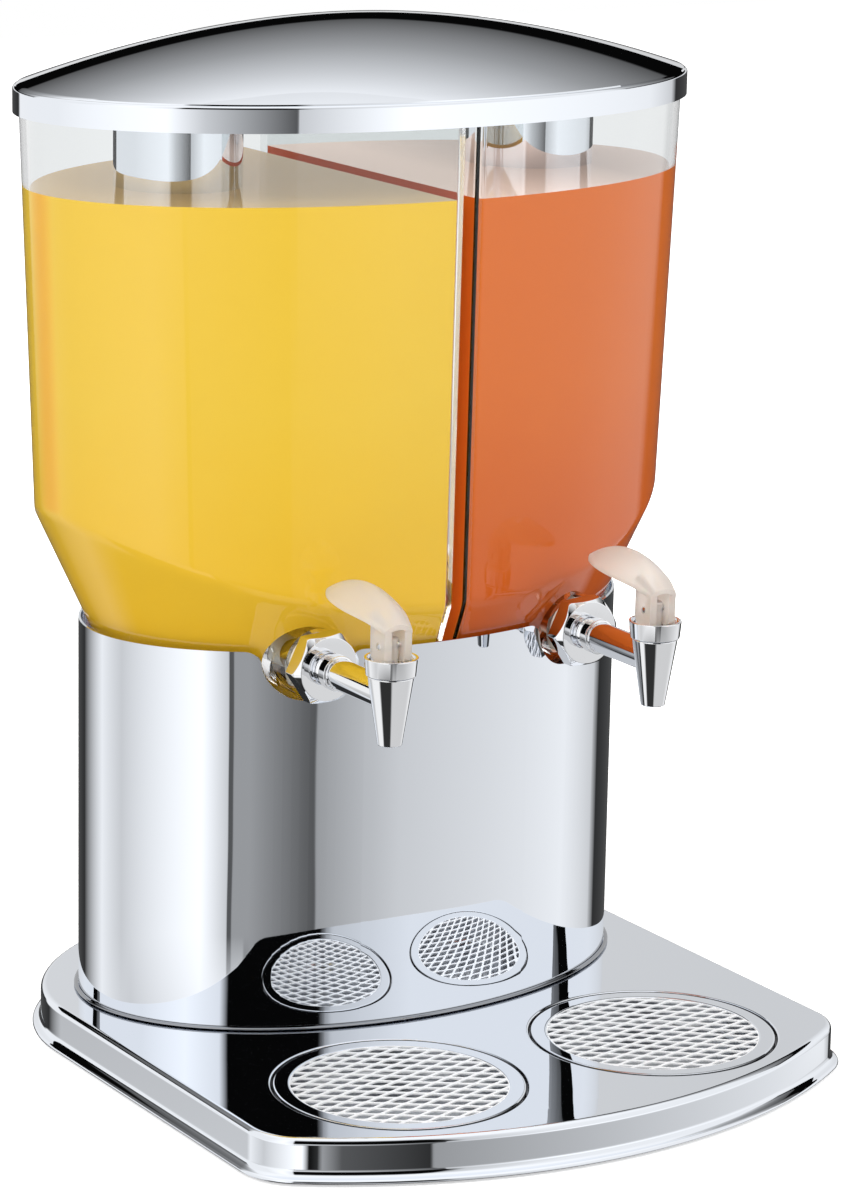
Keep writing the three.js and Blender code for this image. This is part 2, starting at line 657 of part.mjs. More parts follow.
function makeLid() {
  const bevelled = oval(LID_HALF_WIDTH - LID_EDGE_BEVEL, LID_HALF_DEPTH - LID_EDGE_BEVEL);
  const band = oval(LID_HALF_WIDTH, LID_HALF_DEPTH);
  const outside = loft([
    atHeight(bevelled, lidBandBottom),
    atHeight(band, lidBandBottom + LID_EDGE_BEVEL),
    atHeight(band, lidBandTop - LID_EDGE_BEVEL),
    atHeight(bevelled, lidBandTop),
    ...DOME_RING_shares.map((share) => lidRing(share, 0)),
    [new THREE.Vector3(0, 0, domeHeight(0))],
  ]);
  const skirt = oval(LID_HALF_WIDTH - LID_SHEET, LID_HALF_DEPTH - LID_SHEET);
  const skirtHollow = loft([
    atHeight(skirt, lidBandBottom - OVERRUN),
    atHeight(skirt, lidSeat),
  ]);
  return cut(outside, skirtHollow, domeHollow(lidSeat - OVERRUN, LID_SHEET));
}

addPiece("lid_shell", makeLid(), polishedSteel);

// Cooling tubes and their bayonet collars

const collarLipTop = collarBottom + COLLAR_LIP_HEIGHT;
const lugRadius = ICE_RADIUS + LUG_REACH;
const collarInner = lugRadius + BAYONET_PLAY;
const collarOuter = collarInner + COLLAR_WALL;
const lugBottom = collarLipTop + GAP;
const lugTop = lugBottom + LUG_HEIGHT;
const lugDegrees = Array.from({ length: LUG_COUNT }, (_, i) => (360 * i) / LUG_COUNT);

function makeCollar(x) {
  const lid = lidBandTop + LID_RISE;
  const ring = turned([
    [ICE_RADIUS + RUNNING_GAP, collarBottom],
    [collarOuter, collarBottom],
    [collarOuter, lid],
    [collarInner, lid],
    [collarInner, collarLipTop],
    [ICE_RADIUS + RUNNING_GAP, collarLipTop],
  ], TUBE_STEPS);
  const slots = lugDegrees.map((angle) =>
    ringSector(
      ICE_RADIUS - OVERRUN,
      collarInner,
      angle + ICE_TURN,
      SLOT_SWEEP,
      collarBottom - OVERRUN,
      collarLipTop + OVERRUN,
    ),
  );
  const placed = cut(ring, ...slots).translate([x, 0, 0]);
  return placed.intersect(domeHollow(collarBottom - OVERRUN, LID_SHEET + GAP));
}

function makeIceTube() {
  const inner = ICE_RADIUS - ICE_SHEET;
  const shell = turned([
    [0, iceBottom],
    [ICE_RADIUS - ICE_BOTTOM_CORNER, iceBottom],
    [ICE_RADIUS, iceBottom + ICE_BOTTOM_CORNER],
    [ICE_RADIUS, iceTop],
    [inner, iceTop],
    [inner, iceBottom + ICE_BOTTOM_CORNER],
    [ICE_RADIUS - ICE_BOTTOM_CORNER, iceBottom + ICE_SHEET],
    [0, iceBottom + ICE_SHEET],
  ], TUBE_STEPS);
  const lugs = lugDegrees.map((angle) =>
    ringSector(ICE_RADIUS - ICE_SHEET / 2, lugRadius, angle, LUG_SWEEP, lugBottom, lugTop),
  );
  return join(shell, ...lugs);
}

const iceTube = makeIceTube();
const sealBottom = lugTop + GAP;
const iceSeal = tube(ICE_RADIUS + GAP, lugRadius, sealBottom, sealBottom + SEAL_HEIGHT, TUBE_STEPS);
for (const [side, x] of [["left", -iceX], ["right", iceX]]) {
  addPiece("lid_collar_" + side, makeCollar(x), satinSteel);
  addPiece("ice_tube_" + side, iceTube, polishedSteel).position.set(x, 0, 0);
  addPiece("ice_tube_seal_" + side, iceSeal, silicone).position.set(x, 0, 0);
}

// Taps

const innerGasketFront = BOSS_BACK + GAP;
const innerGasketBack = innerGasketFront + GASKET_THICKNESS;
const flangeFront = innerGasketBack + GAP;
const flangeBack = flangeFront + SHANK_FLANGE_THICKNESS;
const outerGasketBack = BOSS_FRONT - GAP;
const outerGasketFront = outerGasketBack - GASKET_THICKNESS;
const nutBack = outerGasketFront - GAP;
const nutFront = nutBack - NUT_THICKNESS;
const gasketBore = SHANK_RADIUS + GAP;

function makeShank() {
  const threads = [];
  for (let turn = 0; turn < THREAD_TURNS; turn += 1) {
    const crest = SHANK_END + (turn + 1 / 2) * THREAD_PITCH;
    threads.push([SHANK_RADIUS, crest], [SHANK_RADIUS - THREAD_DEPTH, crest + THREAD_PITCH / 2]);
  }
  return turned([
    [SHANK_BORE_RADIUS, SHANK_END],
    [SHANK_RADIUS - THREAD_DEPTH, SHANK_END],
    ...threads,
    [SHANK_RADIUS, SHANK_END + (THREAD_TURNS + 1 / 2) * THREAD_PITCH],
    [SHANK_RADIUS, flangeFront],
    [SHANK_FLANGE_RADIUS, flangeFront],
    [SHANK_FLANGE_RADIUS, flangeBack],
    [SHANK_BORE_RADIUS, flangeBack],
  ], SMALL_STEPS, "y");
}

// A hexagon prism whose front corners are turned off, so that its front face is round.
function makeNut() {
  const corner = NUT_ACROSS_FLATS / 2 / Math.cos(Math.PI / NUT_SIDES);
  const sweep = 360 - 360 / NUT_SIDES;
  const hexagon = new THREE.Shape(arc(0, 0, corner, NUT_TURN, NUT_TURN + sweep, NUT_SIDES - 1));
  const faceRadius = NUT_ACROSS_FLATS / 2 - NUT_CHAMFER / 4;
  const turnedOff = turned([
    [0, nutFront],
    [faceRadius, nutFront],
    [faceRadius + NUT_CHAMFER, nutFront + NUT_CHAMFER],
    [corner + OVERRUN, nutBack + OVERRUN],
    [0, nutBack + OVERRUN],
  ], TAP_STEPS, "y");
  const bore = rod(gasketBore, nutFront - OVERRUN, nutBack + OVERRUN, SMALL_STEPS, "y");
  return cut(prismAlongY(hexagon, nutFront, nutBack).intersect(turnedOff), bore);
}

const chamberTopRadius = VALVE_TOP_RADIUS - VALVE_WALL;
const valveSlope = (VALVE_TOP_RADIUS - VALVE_TIP_RADIUS) / (VALVE_TOP - VALVE_TIP);
const chamberRadiusAt = (height) => chamberTopRadius - (VALVE_TOP - height) * valveSlope;
const atValve = (solid) => solid.translate([0, VALVE_Y, 0]);

// The spout tube and the cone are one casting, open from the spigot to the outlet.
function makeTapBody() {
  const collarBack = SHANK_END - GAP;
  const spout = turned([
    [0, VALVE_Y],
    [SPOUT_RADIUS, VALVE_Y],
    [SPOUT_RADIUS, collarBack - SPOUT_COLLAR_LENGTH],
    [SPOUT_COLLAR_RADIUS, collarBack - SPOUT_COLLAR_LENGTH],
    [SPOUT_COLLAR_RADIUS, collarBack],
    [SPIGOT_RADIUS, collarBack],
    [SPIGOT_RADIUS, SPIGOT_END],
    [0, SPIGOT_END],
  ], SMALL_STEPS, "y");
  const cone = turned([
    [0, VALVE_TIP],
    [VALVE_TIP_RADIUS, VALVE_TIP],
    [VALVE_TOP_RADIUS, VALVE_TOP],
    [0, VALVE_TOP],
  ], TAP_STEPS);
  const chamber = turned([
    [0, VALVE_TIP - OVERRUN],
    [OUTLET_RADIUS, VALVE_TIP - OVERRUN],
    [OUTLET_RADIUS, SEAT_HEIGHT],
    [chamberRadiusAt(SEAT_HEIGHT), SEAT_HEIGHT],
    [chamberRadiusAt(VALVE_TOP + OVERRUN), VALVE_TOP + OVERRUN],
    [0, VALVE_TOP + OVERRUN],
  ], TAP_STEPS);
  const bore = rod(SPOUT_BORE_RADIUS, VALVE_Y, SPIGOT_END + OVERRUN, SMALL_STEPS, "y");
  return cut(join(spout, atValve(cone)), bore, atValve(chamber));
}

const bonnetBottom = VALVE_TOP + GAP;
const camFloor = PIN_HEIGHT - CHEEK_FOOT - GAP;
const bonnetCeiling = camFloor - BONNET_FLOOR_THICKNESS;
const spigotBottom = bonnetBottom - BONNET_SPIGOT_DEPTH;
const spigotRadius = chamberRadiusAt(spigotBottom) - GAP;
const spigotInner = spigotRadius - BONNET_SPIGOT_WALL;

// The bonnet's top is dished, so that the lever's cams turn inside its rim.
const makeBonnet = () => atValve(turned([
  [STEM_RADIUS + RUNNING_GAP, bonnetCeiling],
  [spigotInner, bonnetCeiling],
  [spigotInner, spigotBottom],
  [spigotRadius, spigotBottom],
  [spigotRadius, bonnetBottom],
  [BONNET_FOOT_RADIUS, bonnetBottom],
  [BONNET_RADIUS, BONNET_TOP],
  [BONNET_RADIUS - BONNET_RIM, BONNET_TOP],
  [BONNET_RADIUS - BONNET_RIM, camFloor],
  [STEM_RADIUS + RUNNING_GAP, camFloor],
], TAP_STEPS));

function makeStem() {
  const top = PIN_HEIGHT + STEM_TOP_OVER_PIN;
  const round = STEM_RADIUS / 2;
  const shaft = turned([
    [0, STEM_BOTTOM],
    [STEM_RADIUS, STEM_BOTTOM],
    [STEM_RADIUS, top - round],
    [STEM_RADIUS - round, top],
    [0, top],
  ], SMALL_STEPS);
  const eye = pinRod(PIN_RADIUS + GAP, STEM_RADIUS + OVERRUN);
  return atValve(cut(shaft, eye));
}

// A rod along x through the pin's place, reaching as far to each side.
function pinRod(radius, reach) {
  const round = new THREE.Shape(arc(0, PIN_HEIGHT, radius, 0, 315, 7));
  return prismAlongX(round, -reach, reach);
}

function makeSeatCup() {
  const bottom = SEAT_HEIGHT + GAP;
  const socket = STEM_RADIUS + GAP;
  return atValve(turned([
    [0, bottom],
    [CUP_LIP_RADIUS, bottom],
    [CUP_NECK_RADIUS, STEM_BOTTOM],
    [CUP_NECK_RADIUS, CUP_NECK_HEIGHT - CUP_NECK_CHAMFER],
    [CUP_NECK_RADIUS - CUP_NECK_CHAMFER, CUP_NECK_HEIGHT],
    [socket, CUP_NECK_HEIGHT],
    [socket, STEM_BOTTOM - GAP],
    [0, STEM_BOTTOM - GAP],
  ], SMALL_STEPS));
}

// The paddle's crest line, from its front over the crest to the tip, and its half width along that line.
function paddleCrest(share) {
  const front = PADDLE_FRONT_HEIGHT * (1 - share) * (1 - 2 * share);
  const middle = 4 * PADDLE_CREST_HEIGHT * share * (1 - share);
  const tip = PADDLE_TIP_HEIGHT * share * (2 * share - 1);
  return front + middle + tip;
}

function paddleHalfWidth(share) {
  const half = PADDLE_WIDTH / 2;
  if (share >= 1 / 2) return half * Math.sqrt(1 - (2 * share - 1) ** 2);
  return CHEEK_OUTER + (half - CHEEK_OUTER) * Math.sin(Math.PI * share);
}

function paddlePoint(share, across, drop) {
  const x = paddleHalfWidth(share) * across;
  const arch = PADDLE_ARCH * (x / (PADDLE_WIDTH / 2)) ** 2;
  return new THREE.Vector3(x, PADDLE_FRONT + PADDLE_LENGTH * share, paddleCrest(share) - arch - drop);
}

// An arched leaf: the same grid of points twice, a thickness apart, closed round its edge.
function makePaddle() {
  const share = (row) => Math.sin((Math.PI * row) / (2 * PADDLE_ROWS));
  const point = (row, column, drop) => paddlePoint(share(row), (2 * column) / PADDLE_COLUMNS - 1, drop);
  const triangles = [];
  const quad = (a, b, c, d) => triangles.push(a, b, c, a, c, d);
  for (let row = 0; row < PADDLE_ROWS; row += 1) {
    for (let column = 0; column < PADDLE_COLUMNS; column += 1) {
      const corners = [[row, column], [row, column + 1], [row + 1, column + 1], [row + 1, column]];
      quad(...corners.map(([r, c]) => point(r, c, 0)));
      quad(...corners.reverse().map(([r, c]) => point(r, c, PADDLE_THICKNESS)));
    }
    for (const [column, low, high] of [[0, PADDLE_THICKNESS, 0], [PADDLE_COLUMNS, 0, PADDLE_THICKNESS]]) {
      quad(
        point(row, column, low),
        point(row, column, high),
        point(row + 1, column, high),
        point(row + 1, column, low),
      );
    }
  }
  for (let column = 0; column < PADDLE_COLUMNS; column += 1) {
    quad(
      point(0, column, 0),
      point(0, column, PADDLE_THICKNESS),
      point(0, column + 1, PADDLE_THICKNESS),
      point(0, column + 1, 0),
    );
  }
  return fromTriangles(triangles);
}

// A cheek stands on the bonnet with its flat foot and runs up into the paddle. Its front heel lifts the pin.
function cheekShape() {
  const shareAt = (y) => (y - PADDLE_FRONT) / PADDLE_LENGTH;
  const arch = PADDLE_ARCH * (CHEEK_OUTER / (PADDLE_WIDTH / 2)) ** 2;
  const topAt = (y) => paddleCrest(shareAt(y)) - arch - PADDLE_THICKNESS / 2;
  const front = PADDLE_FRONT + GAP;
  const heel = arc(front + HEEL_RADIUS, HEEL_RADIUS - CHEEK_FOOT, HEEL_RADIUS, 180, 270, CORNER_STEPS);
  const rearCentre = CHEEK_REAR - CHEEK_REAR_RADIUS;
  const rear = arc(rearCentre, CHEEK_REAR_RADIUS - CHEEK_FOOT, CHEEK_REAR_RADIUS, 270, 360, CORNER_STEPS);
  const top = Array.from({ length: CORNER_STEPS + 1 }, (_, i) => {
    const y = CHEEK_REAR + ((front - CHEEK_REAR) * i) / CORNER_STEPS;
    return new THREE.Vector2(y, topAt(y));
  });
  return new THREE.Shape([...heel, ...rear, ...top]);
}

function makeLever() {
  const cheek = prismAlongX(cheekShape(), CHEEK_INNER, CHEEK_OUTER);
  const whole = join(makePaddle(), cheek, cheek.mirror([1, 0, 0])).translate([0, 0, PIN_HEIGHT]);
  return atValve(cut(whole, pinRod(PIN_RADIUS + GAP, CHEEK_OUTER + OVERRUN)));
}

const tapPieces = {
  tap_shank: [makeShank(), chrome],
  tap_inner_gasket: [tube(gasketBore, SHANK_FLANGE_RADIUS, innerGasketFront, innerGasketBack, SMALL_STEPS, "y"), silicone],
  tap_outer_gasket: [tube(gasketBore, OUTER_GASKET_RADIUS, outerGasketFront, outerGasketBack, SMALL_STEPS, "y"), silicone],
  tap_nut: [makeNut(), chrome],
  tap_body: [makeTapBody(), chrome],
  tap_bonnet: [makeBonnet(), chrome],
  tap_stem: [makeStem(), frostedPlastic],
  tap_seat_cup: [makeSeatCup(), silicone],
  tap_lever: [makeLever(), frostedPlastic],
  tap_lever_pin: [atValve(pinRod(PIN_RADIUS, CHEEK_OUTER - GAP)), satinSteel],
};
for (const [side, x] of [["left", -TAP_X], ["right", TAP_X]]) {
  const tap = new THREE.Group();
  tap.position.set(x, 0, tapHeight);
  product.add(tap);
  for (const [name, [solid, material]] of Object.entries(tapPieces)) {
    addPiece(name + "_" + side, solid, material, tap);
  }
}

export default product;
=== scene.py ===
# A double juice dispenser on a pale studio floor: two clear tanks of juice over a polished steel column and
# drip base, with chromed taps and a domed lid. Metres, +Z up, the taps face -Y.
import math

import bmesh
import bpy
from mathutils import Matrix, Vector
from mathutils.geometry import tessellate_polygon


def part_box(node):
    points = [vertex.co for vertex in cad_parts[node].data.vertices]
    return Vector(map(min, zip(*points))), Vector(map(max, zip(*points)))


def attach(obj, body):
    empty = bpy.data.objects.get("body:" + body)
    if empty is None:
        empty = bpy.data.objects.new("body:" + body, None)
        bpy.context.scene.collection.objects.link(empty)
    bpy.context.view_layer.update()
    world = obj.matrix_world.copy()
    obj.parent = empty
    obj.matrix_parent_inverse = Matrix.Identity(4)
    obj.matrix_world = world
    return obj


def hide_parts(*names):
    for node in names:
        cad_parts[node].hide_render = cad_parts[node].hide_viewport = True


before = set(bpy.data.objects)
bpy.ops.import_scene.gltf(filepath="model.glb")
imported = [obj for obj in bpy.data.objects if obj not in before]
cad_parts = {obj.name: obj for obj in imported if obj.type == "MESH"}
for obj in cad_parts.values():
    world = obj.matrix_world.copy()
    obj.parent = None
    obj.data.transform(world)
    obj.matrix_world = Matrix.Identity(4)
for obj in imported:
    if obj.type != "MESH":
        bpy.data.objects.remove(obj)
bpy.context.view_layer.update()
scene = bpy.context.scene

MM = 0.001
SIDES = {"left": -1, "right": 1}

# Places from the frame
column_low, column_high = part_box("column_shell")
AXIS_Y = (column_low.y + column_high.y) / 2
COLUMN_HALF_WIDTH = column_high.x
COLUMN_HALF_DEPTH = (column_high.y - column_low.y) / 2
COLUMN_TOP = column_high.z
BASE_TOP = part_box("base_tray")[1].z
cup_low, cup_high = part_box("drip_cup_right")
WELL_X = (cup_low.x + cup_high.x) / 2
WELL_Y = (cup_low.y + cup_high.y) / 2
pin_low, pin_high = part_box("tap_lever_pin_right")
TAP_X = (pin_low.x + pin_high.x) / 2
VALVE_Y = (pin_low.y + pin_high.y) / 2
PIN_Z = (pin_low.z + pin_high.z) / 2
tube_low, tube_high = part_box("ice_tube_right")
ICE_X = (tube_low.x + tube_high.x) / 2

# Base tray
BASE_HALF_WIDTH = 163 * MM
BASE_REAR_DEPTH = 119 * MM
BASE_FRONT_DEPTH = 252 * MM
BASE_FRONT_RADIUS = 271 * MM
BASE_CORNER_RADIUS = 28 * MM
BASE_EDGE_RADIUS = 3.2 * MM
BASE_SHEET = 1.5 * MM
WELL_RADIUS = 60.3 * MM
WELL_LEDGE_RADIUS = 55 * MM
WELL_LEDGE_DEPTH = 2.8 * MM
WELL_SHEET = 1.2 * MM
WELL_EDGE_RADIUS = 1.4 * MM
# Depth below the tray's top from which the well's wall gets painted shade
SHADE_DEPTH = 0.3 * MM

# Drip cups and grilles
CUP_CLEARANCE = 0.4 * MM
CUP_LIFT = 0.3 * MM
CUP_SHEET = 1 * MM
CUP_BEVEL = 3 * MM
GRILLE_RADIUS = 59.5 * MM
GRILLE_INNER = 51.4 * MM
GRILLE_LIFT = 1.3 * MM
FLANGE_Z = BASE_TOP - WELL_LEDGE_DEPTH + CUP_LIFT
GRILLE_EDGE = 1.3 * MM
# How far in and down the painted shade on the grille ring's outer wall reaches
RING_SHADE_REACH = 0.4 * MM
GRILLE_OUTER_FALL = 0.9 * MM
GRILLE_INNER_FALL = 0.7 * MM
MESH_LONG_PITCH = 16.4 * MM
MESH_SHORT_PITCH = 8.2 * MM
MESH_STRAND = 1.8 * MM
MESH_THICKNESS = 0.7 * MM
MESH_DROP = 0.3 * MM
MESH_CORNER_SHARE = 0.12
MESH_TURNS = {"left": -8, "right": -13}

# Column
COLUMN_SHEET = 1.2 * MM
SLOT_RADIUS = 20 * MM
SLOT_EDGE_RADIUS = 7 * MM
TAP_Z = 207 * MM
SLOT_EDGE_Z = COLUMN_TOP - SLOT_EDGE_RADIUS
SLOT_EDGE_X = math.sqrt((SLOT_RADIUS + SLOT_EDGE_RADIUS) ** 2 - (SLOT_EDGE_Z - TAP_Z) ** 2)
SLOT_TOUCH_X = SLOT_EDGE_X * SLOT_RADIUS / (SLOT_RADIUS + SLOT_EDGE_RADIUS)
COLUMN_ROWS = 8
BEAD_ROOT = 0.3 * MM
SHELF_GAP = 1.5 * MM
SHELF_SHEET = 2 * MM
SHELF_BEVEL = 1 * MM

# Tanks
TANK_WALL = 3.5 * MM
TANK_FLOOR = 4.5 * MM
TANK_HALF_GAP = 3 * MM
TANK_CORNER_RADIUS = 4.5 * MM
TANK_CREASE_BLEND = 1 * MM
TANK_BOTTOM = 179.7 * MM
TANK_TOP = 469.9 * MM
TANK_FOOT_EDGE = 1.5 * MM
TANK_RIM_EDGE = 0.6 * MM
# Ovals that the upright wall and the bevel run through: height, half width, half depth
RIM = (469.9 * MM, 176.9 * MM, 103.9 * MM)
WAIST = (271 * MM, 169.2 * MM, 100.9 * MM)
BEVEL_HIGH = (271 * MM, 169.2 * MM, 117.8 * MM)
BEVEL_LOW = (211 * MM, 140.9 * MM, 92.8 * MM)
CREASE_LOW = 216 * MM
CREASE_HIGH = 280 * MM
FINE_STEP = 2 * MM
COARSE_STEP = 20 * MM
JUICE_TOP = 424.6 * MM
JUICE_GAP = 0.2 * MM
JUICE_OVERLAP = 0.05 * MM
# Heights between which the juice lightens upwards: painted shade at its foot, by the column's rim
JUICE_SHADED_HEIGHT = 200 * MM
JUICE_LIT_HEIGHT = 330 * MM
# Painted light: the glow of the juice's surface, fading over these distances from the middle to the outer
# level, and the glow of its flat side
GLOW_FADE = (40 * MM, 120 * MM)
OUTER_GLOW = 0.2
FLAT_PAINTED_GLOW = 0.28
BOSS_RADIUS = 17 * MM
BOSS_FRONT = -89.9 * MM
BOSS_BACK = -66.5 * MM
SPOT_FACE_RADIUS = 15.5 * MM
HOLE_RADIUS = 7.8 * MM
FLANGE_BACK = -60.6 * MM
REACH = 3 * MM

# Lid
LID_HALF_WIDTH = 179.6 * MM
LID_HALF_DEPTH = 106.7 * MM
LID_BAND_BOTTOM = 459.3 * MM
LID_BAND_TOP = 471.7 * MM
LID_RISE = 30 * MM
LID_SHEET = 1.2 * MM
LID_SEAT_HEIGHT = 470.2 * MM
LID_SEAT_SHARE = 0.955
DOME_POWER = 1.9
LID_EDGE_RADIUS = 1.5 * MM
OVAL_STEPS = 192
ICE_RADIUS = 30.8 * MM
ICE_BOTTOM = 280 * MM
ICE_TOP = 475 * MM
ICE_BEVEL = 5 * MM
ICE_SHEET = 1 * MM
SEAL_INNER = 31.1 * MM
SEAL_OUTER = 32.6 * MM

# Taps
THREAD_PITCH = 1.75 * MM
THREAD_RADIUS = 7.5 * MM
SHANK_FRONT = -105.7 * MM
SHANK_BORE = 5.6 * MM
FLANGE_RADIUS = 14.5 * MM
SPOUT_BORE = 3.8 * MM
NUT_FLATS = 32 * MM
NUT_FRONT = -102.1 * MM
NUT_BACK = -92.5 * MM
NUT_EDGE = 0.25 * MM
CONE_TOP = (11.1 * MM, 10.2 * MM)
CONE_FOOT = (5.8 * MM, -23 * MM)
CHAMBER_RADIUS = 9.5 * MM
SEAT_HEIGHT = -18.3 * MM
OUTLET_RADIUS = 3.6 * MM
EYE_RADIUS = 1.7 * MM
PIN_RADIUS = 1.4 * MM
PADDLE_FRONT = -6.1 * MM
PADDLE_LENGTH = 57.7 * MM
PADDLE_HALF_WIDTH = 13.5 * MM
PADDLE_ARCH = 9 * MM
PADDLE_THICKNESS = 2.4 * MM
PADDLE_HEIGHTS = (10.8 * MM, 23.8 * MM, 16.8 * MM)
PADDLE_EDGE_SHARE = 0.97
PADDLE_TIP_SHARE = 0.99995
CHEEK_FRONT = -5.8 * MM
CHEEK_REAR = 6.8 * MM
CHEEK_FOOT = -7.4 * MM
HEEL_RADIUS = 2 * MM
CHEEK_REAR_RADIUS = 4 * MM
CHEEK_INNER = 3.5 * MM
CHEEK_OUTER = 7.3 * MM

# Camera, from the photograph
FRAME_HEIGHT = 1200
FOCAL_PIXELS = 4240.63
CAMERA_AZIMUTH = math.radians(32.446)
CAMERA_PITCH = math.radians(13.9)
CAMERA_ROLL = math.radians(1.125)
CAMERA_PLACE = Vector((-1071.175 * MM, -1751.97 * MM + AXIS_Y, 718.53 * MM))


# Helpers


def mm_profile(points):
    return [(a * MM, b * MM) for a, b in points]


def add_object(name, shape, material=None, smooth_degrees=32):
    vertices, faces = shape
    mesh = bpy.data.meshes.new(name)
    mesh.from_pydata([tuple(v) for v in vertices], [], faces)
    mesh.validate()
    obj = bpy.data.objects.new(name, mesh)
    scene.collection.objects.link(obj)
    tidy_mesh(obj, smooth_degrees)
    if material:
        obj.data.materials.append(material)
    return obj


def tidy_mesh(obj, smooth_degrees=32):
    bm = bmesh.new()
    bm.from_mesh(obj.data)
    bmesh.ops.remove_doubles(bm, verts=bm.verts, dist=1e-7)
    bmesh.ops.recalc_face_normals(bm, faces=bm.faces)
    bm.to_mesh(obj.data)
    bm.free()
    obj.data.polygons.foreach_set("use_smooth", [True] * len(obj.data.polygons))
    obj.data.set_sharp_from_angle(angle=math.radians(smooth_degrees))


def dress(obj, body, nodes=()):
    even = obj.modifiers.new("even_shading", "WEIGHTED_NORMAL")
    even.keep_sharp = True
    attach(obj, body)
    if nodes:
        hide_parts(*nodes)
    return obj


def apply_modifiers(obj):
    bpy.context.view_layer.update()
    result = bpy.data.meshes.new_from_object(obj.evaluated_get(bpy.context.evaluated_depsgraph_get()))
    obj.modifiers.clear()
    old = obj.data
    obj.data = result
    bpy.data.meshes.remove(old)


def boolean(obj, other, operation):
    modifier = obj.modifiers.new("cut", "BOOLEAN")
    modifier.operation = operation
    modifier.solver = "EXACT"
    modifier.object = other
    apply_modifiers(obj)
    bpy.data.objects.remove(other)


def skin(rings, loop=False, caps=True):
    """Vertices and faces of a surface through rings of equally many points. A ring of one point is a pole."""
    vertices = [p for ring in rings for p in ring]
    starts = [sum(len(r) for r in rings[:i]) for i in range(len(rings))]
    faces = []
    pairs = [(i, i + 1) for i in range(len(rings) - 1)]
    if loop:
        pairs.append((len(rings) - 1, 0))
    for a, b in pairs:
        n = max(len(rings[a]), len(rings[b]))
        for i in range(n):
            j = (i + 1) % n
            low = [starts[a] + i, starts[a] + j] if len(rings[a]) > 1 else [starts[a]]
            high = [starts[b] + j, starts[b] + i] if len(rings[b]) > 1 else [starts[b]]
            faces.append(low + high)
    if caps and not loop:
        for ring, start in ((rings[0], starts[0]), (rings[-1], starts[-1])):
            if len(ring) > 1:
                faces.append(list(range(start, start + len(ring))))
    return vertices, faces


def at_height(outline, z):
    return [Vector((x, y, z)) for x, y in outline]


def oval(half_width, half_depth, steps=144):
    turns = [2 * math.pi * i / steps for i in range(steps)]
    return [(half_width * math.cos(t), AXIS_Y + half_depth * math.sin(t)) for t in turns]


def arc(cx, cy, radius, start, end, steps, rise=None):
    """Points of an arc, in degrees. With a rise it is an oval's: the radius across and the rise along y."""
    turns = [math.radians(start + (end - start) * i / steps) for i in range(steps + 1)]
    return [(cx + radius * math.cos(t), cy + (rise or radius) * math.sin(t)) for t in turns]


def oval_rings(half_width, half_depth, profile, steps=144):
    """Rings round an oval, for a profile of (outward offset, height) pairs."""
    return [at_height(oval(half_width + e, half_depth + e, steps), z) for e, z in profile]


def lathe(profile, place, steps=64, axis="z", closed=True):
    """A turned piece: profile is (radius, distance along the axis) pairs, in metres, from a point."""
    order = {"x": (2, 1, 0), "y": (0, 2, 1), "z": (0, 1, 2)}[axis]
    rings = []
    for radius, along in profile:
        turns = [2 * math.pi * i / steps for i in range(steps if radius else 1)]
        points = [(radius * math.cos(t), radius * math.sin(t), along) for t in turns]
        rings.append([Vector(place) + Vector([p[k] for k in order]) for p in points])
    on_axis = profile[0][0] == 0 and profile[-1][0] == 0
    return skin(rings, loop=closed and not on_axis, caps=False)


def ring_profile(inner, outer, low, high):
    return [(inner, low), (outer, low), (outer, high), (inner, high)]


def rod_profile(radius, low, high):
    return ring_profile(0, radius, low, high)


def rounded(profile, radius, steps=4):
    """The profile with its convex and concave corners rounded, where the neighbours leave room."""
    out = []
    count = len(profile)
    for i, corner in enumerate(profile):
        here = Vector(corner)
        before, after = Vector(profile[i - 1]), Vector(profile[(i + 1) % count])
        on_axis = corner[0] == 0 or (i in (0, count - 1) and profile[0][0] == 0)
        reach = min(radius, (before - here).length / 2.05, (after - here).length / 2.05)
        if on_axis or reach < 1e-6:
            out.append(tuple(here))
            continue
        a = here + (before - here).normalized() * reach
        b = here + (after - here).normalized() * reach
        for k in range(steps + 1):
            t = k / steps
            point = a * (1 - t) ** 2 + here * (2 * t * (1 - t)) + b * t ** 2
            out.append(tuple(point))
    return out


def piece(name, shape, body, material, nodes, smooth_degrees=32):
    return dress(add_object(name, shape, material, smooth_degrees), body, nodes)


def combine(*shapes):
    vertices, faces = [], []
    for shape_vertices, shape_faces in shapes:
        start = len(vertices)
        vertices += shape_vertices
        faces += [[i + start for i in face] for face in shape_faces]
    return vertices, faces


# Materials


def new_material(name, values):
    """A material and its main shader, with the shader's constants set."""
    material = bpy.data.materials.new(name)
    material.use_nodes = True
    tree = material.node_tree
    shader = tree.nodes["Principled BSDF"]
    for key, value in values.items():
        shader.inputs[key].default_value = value
    return material, tree, shader


def add_node(tree, kind, **values):
    node = tree.nodes.new(kind)
    for key, value in values.items():
        setattr(node, key, value)
    return node


def feed(tree, sockets, values):
    """Gives each socket its value: a constant, or another node's output to link."""
    for socket, value in zip(sockets, values):
        if isinstance(value, bpy.types.NodeSocket):
            tree.links.new(value, socket)
        else:
            socket.default_value = value


def object_place(tree):
    return add_node(tree, "ShaderNodeTexCoord").outputs["Object"]


def split_xyz(tree, vector):
    split = add_node(tree, "ShaderNodeSeparateXYZ")
    tree.links.new(vector, split.inputs[0])
    return split.outputs


def emission(tree, strength, color=(1, 1, 1, 1)):
    node = add_node(tree, "ShaderNodeEmission")
    feed(tree, (node.inputs["Strength"], node.inputs["Color"]), (strength, color))
    return node


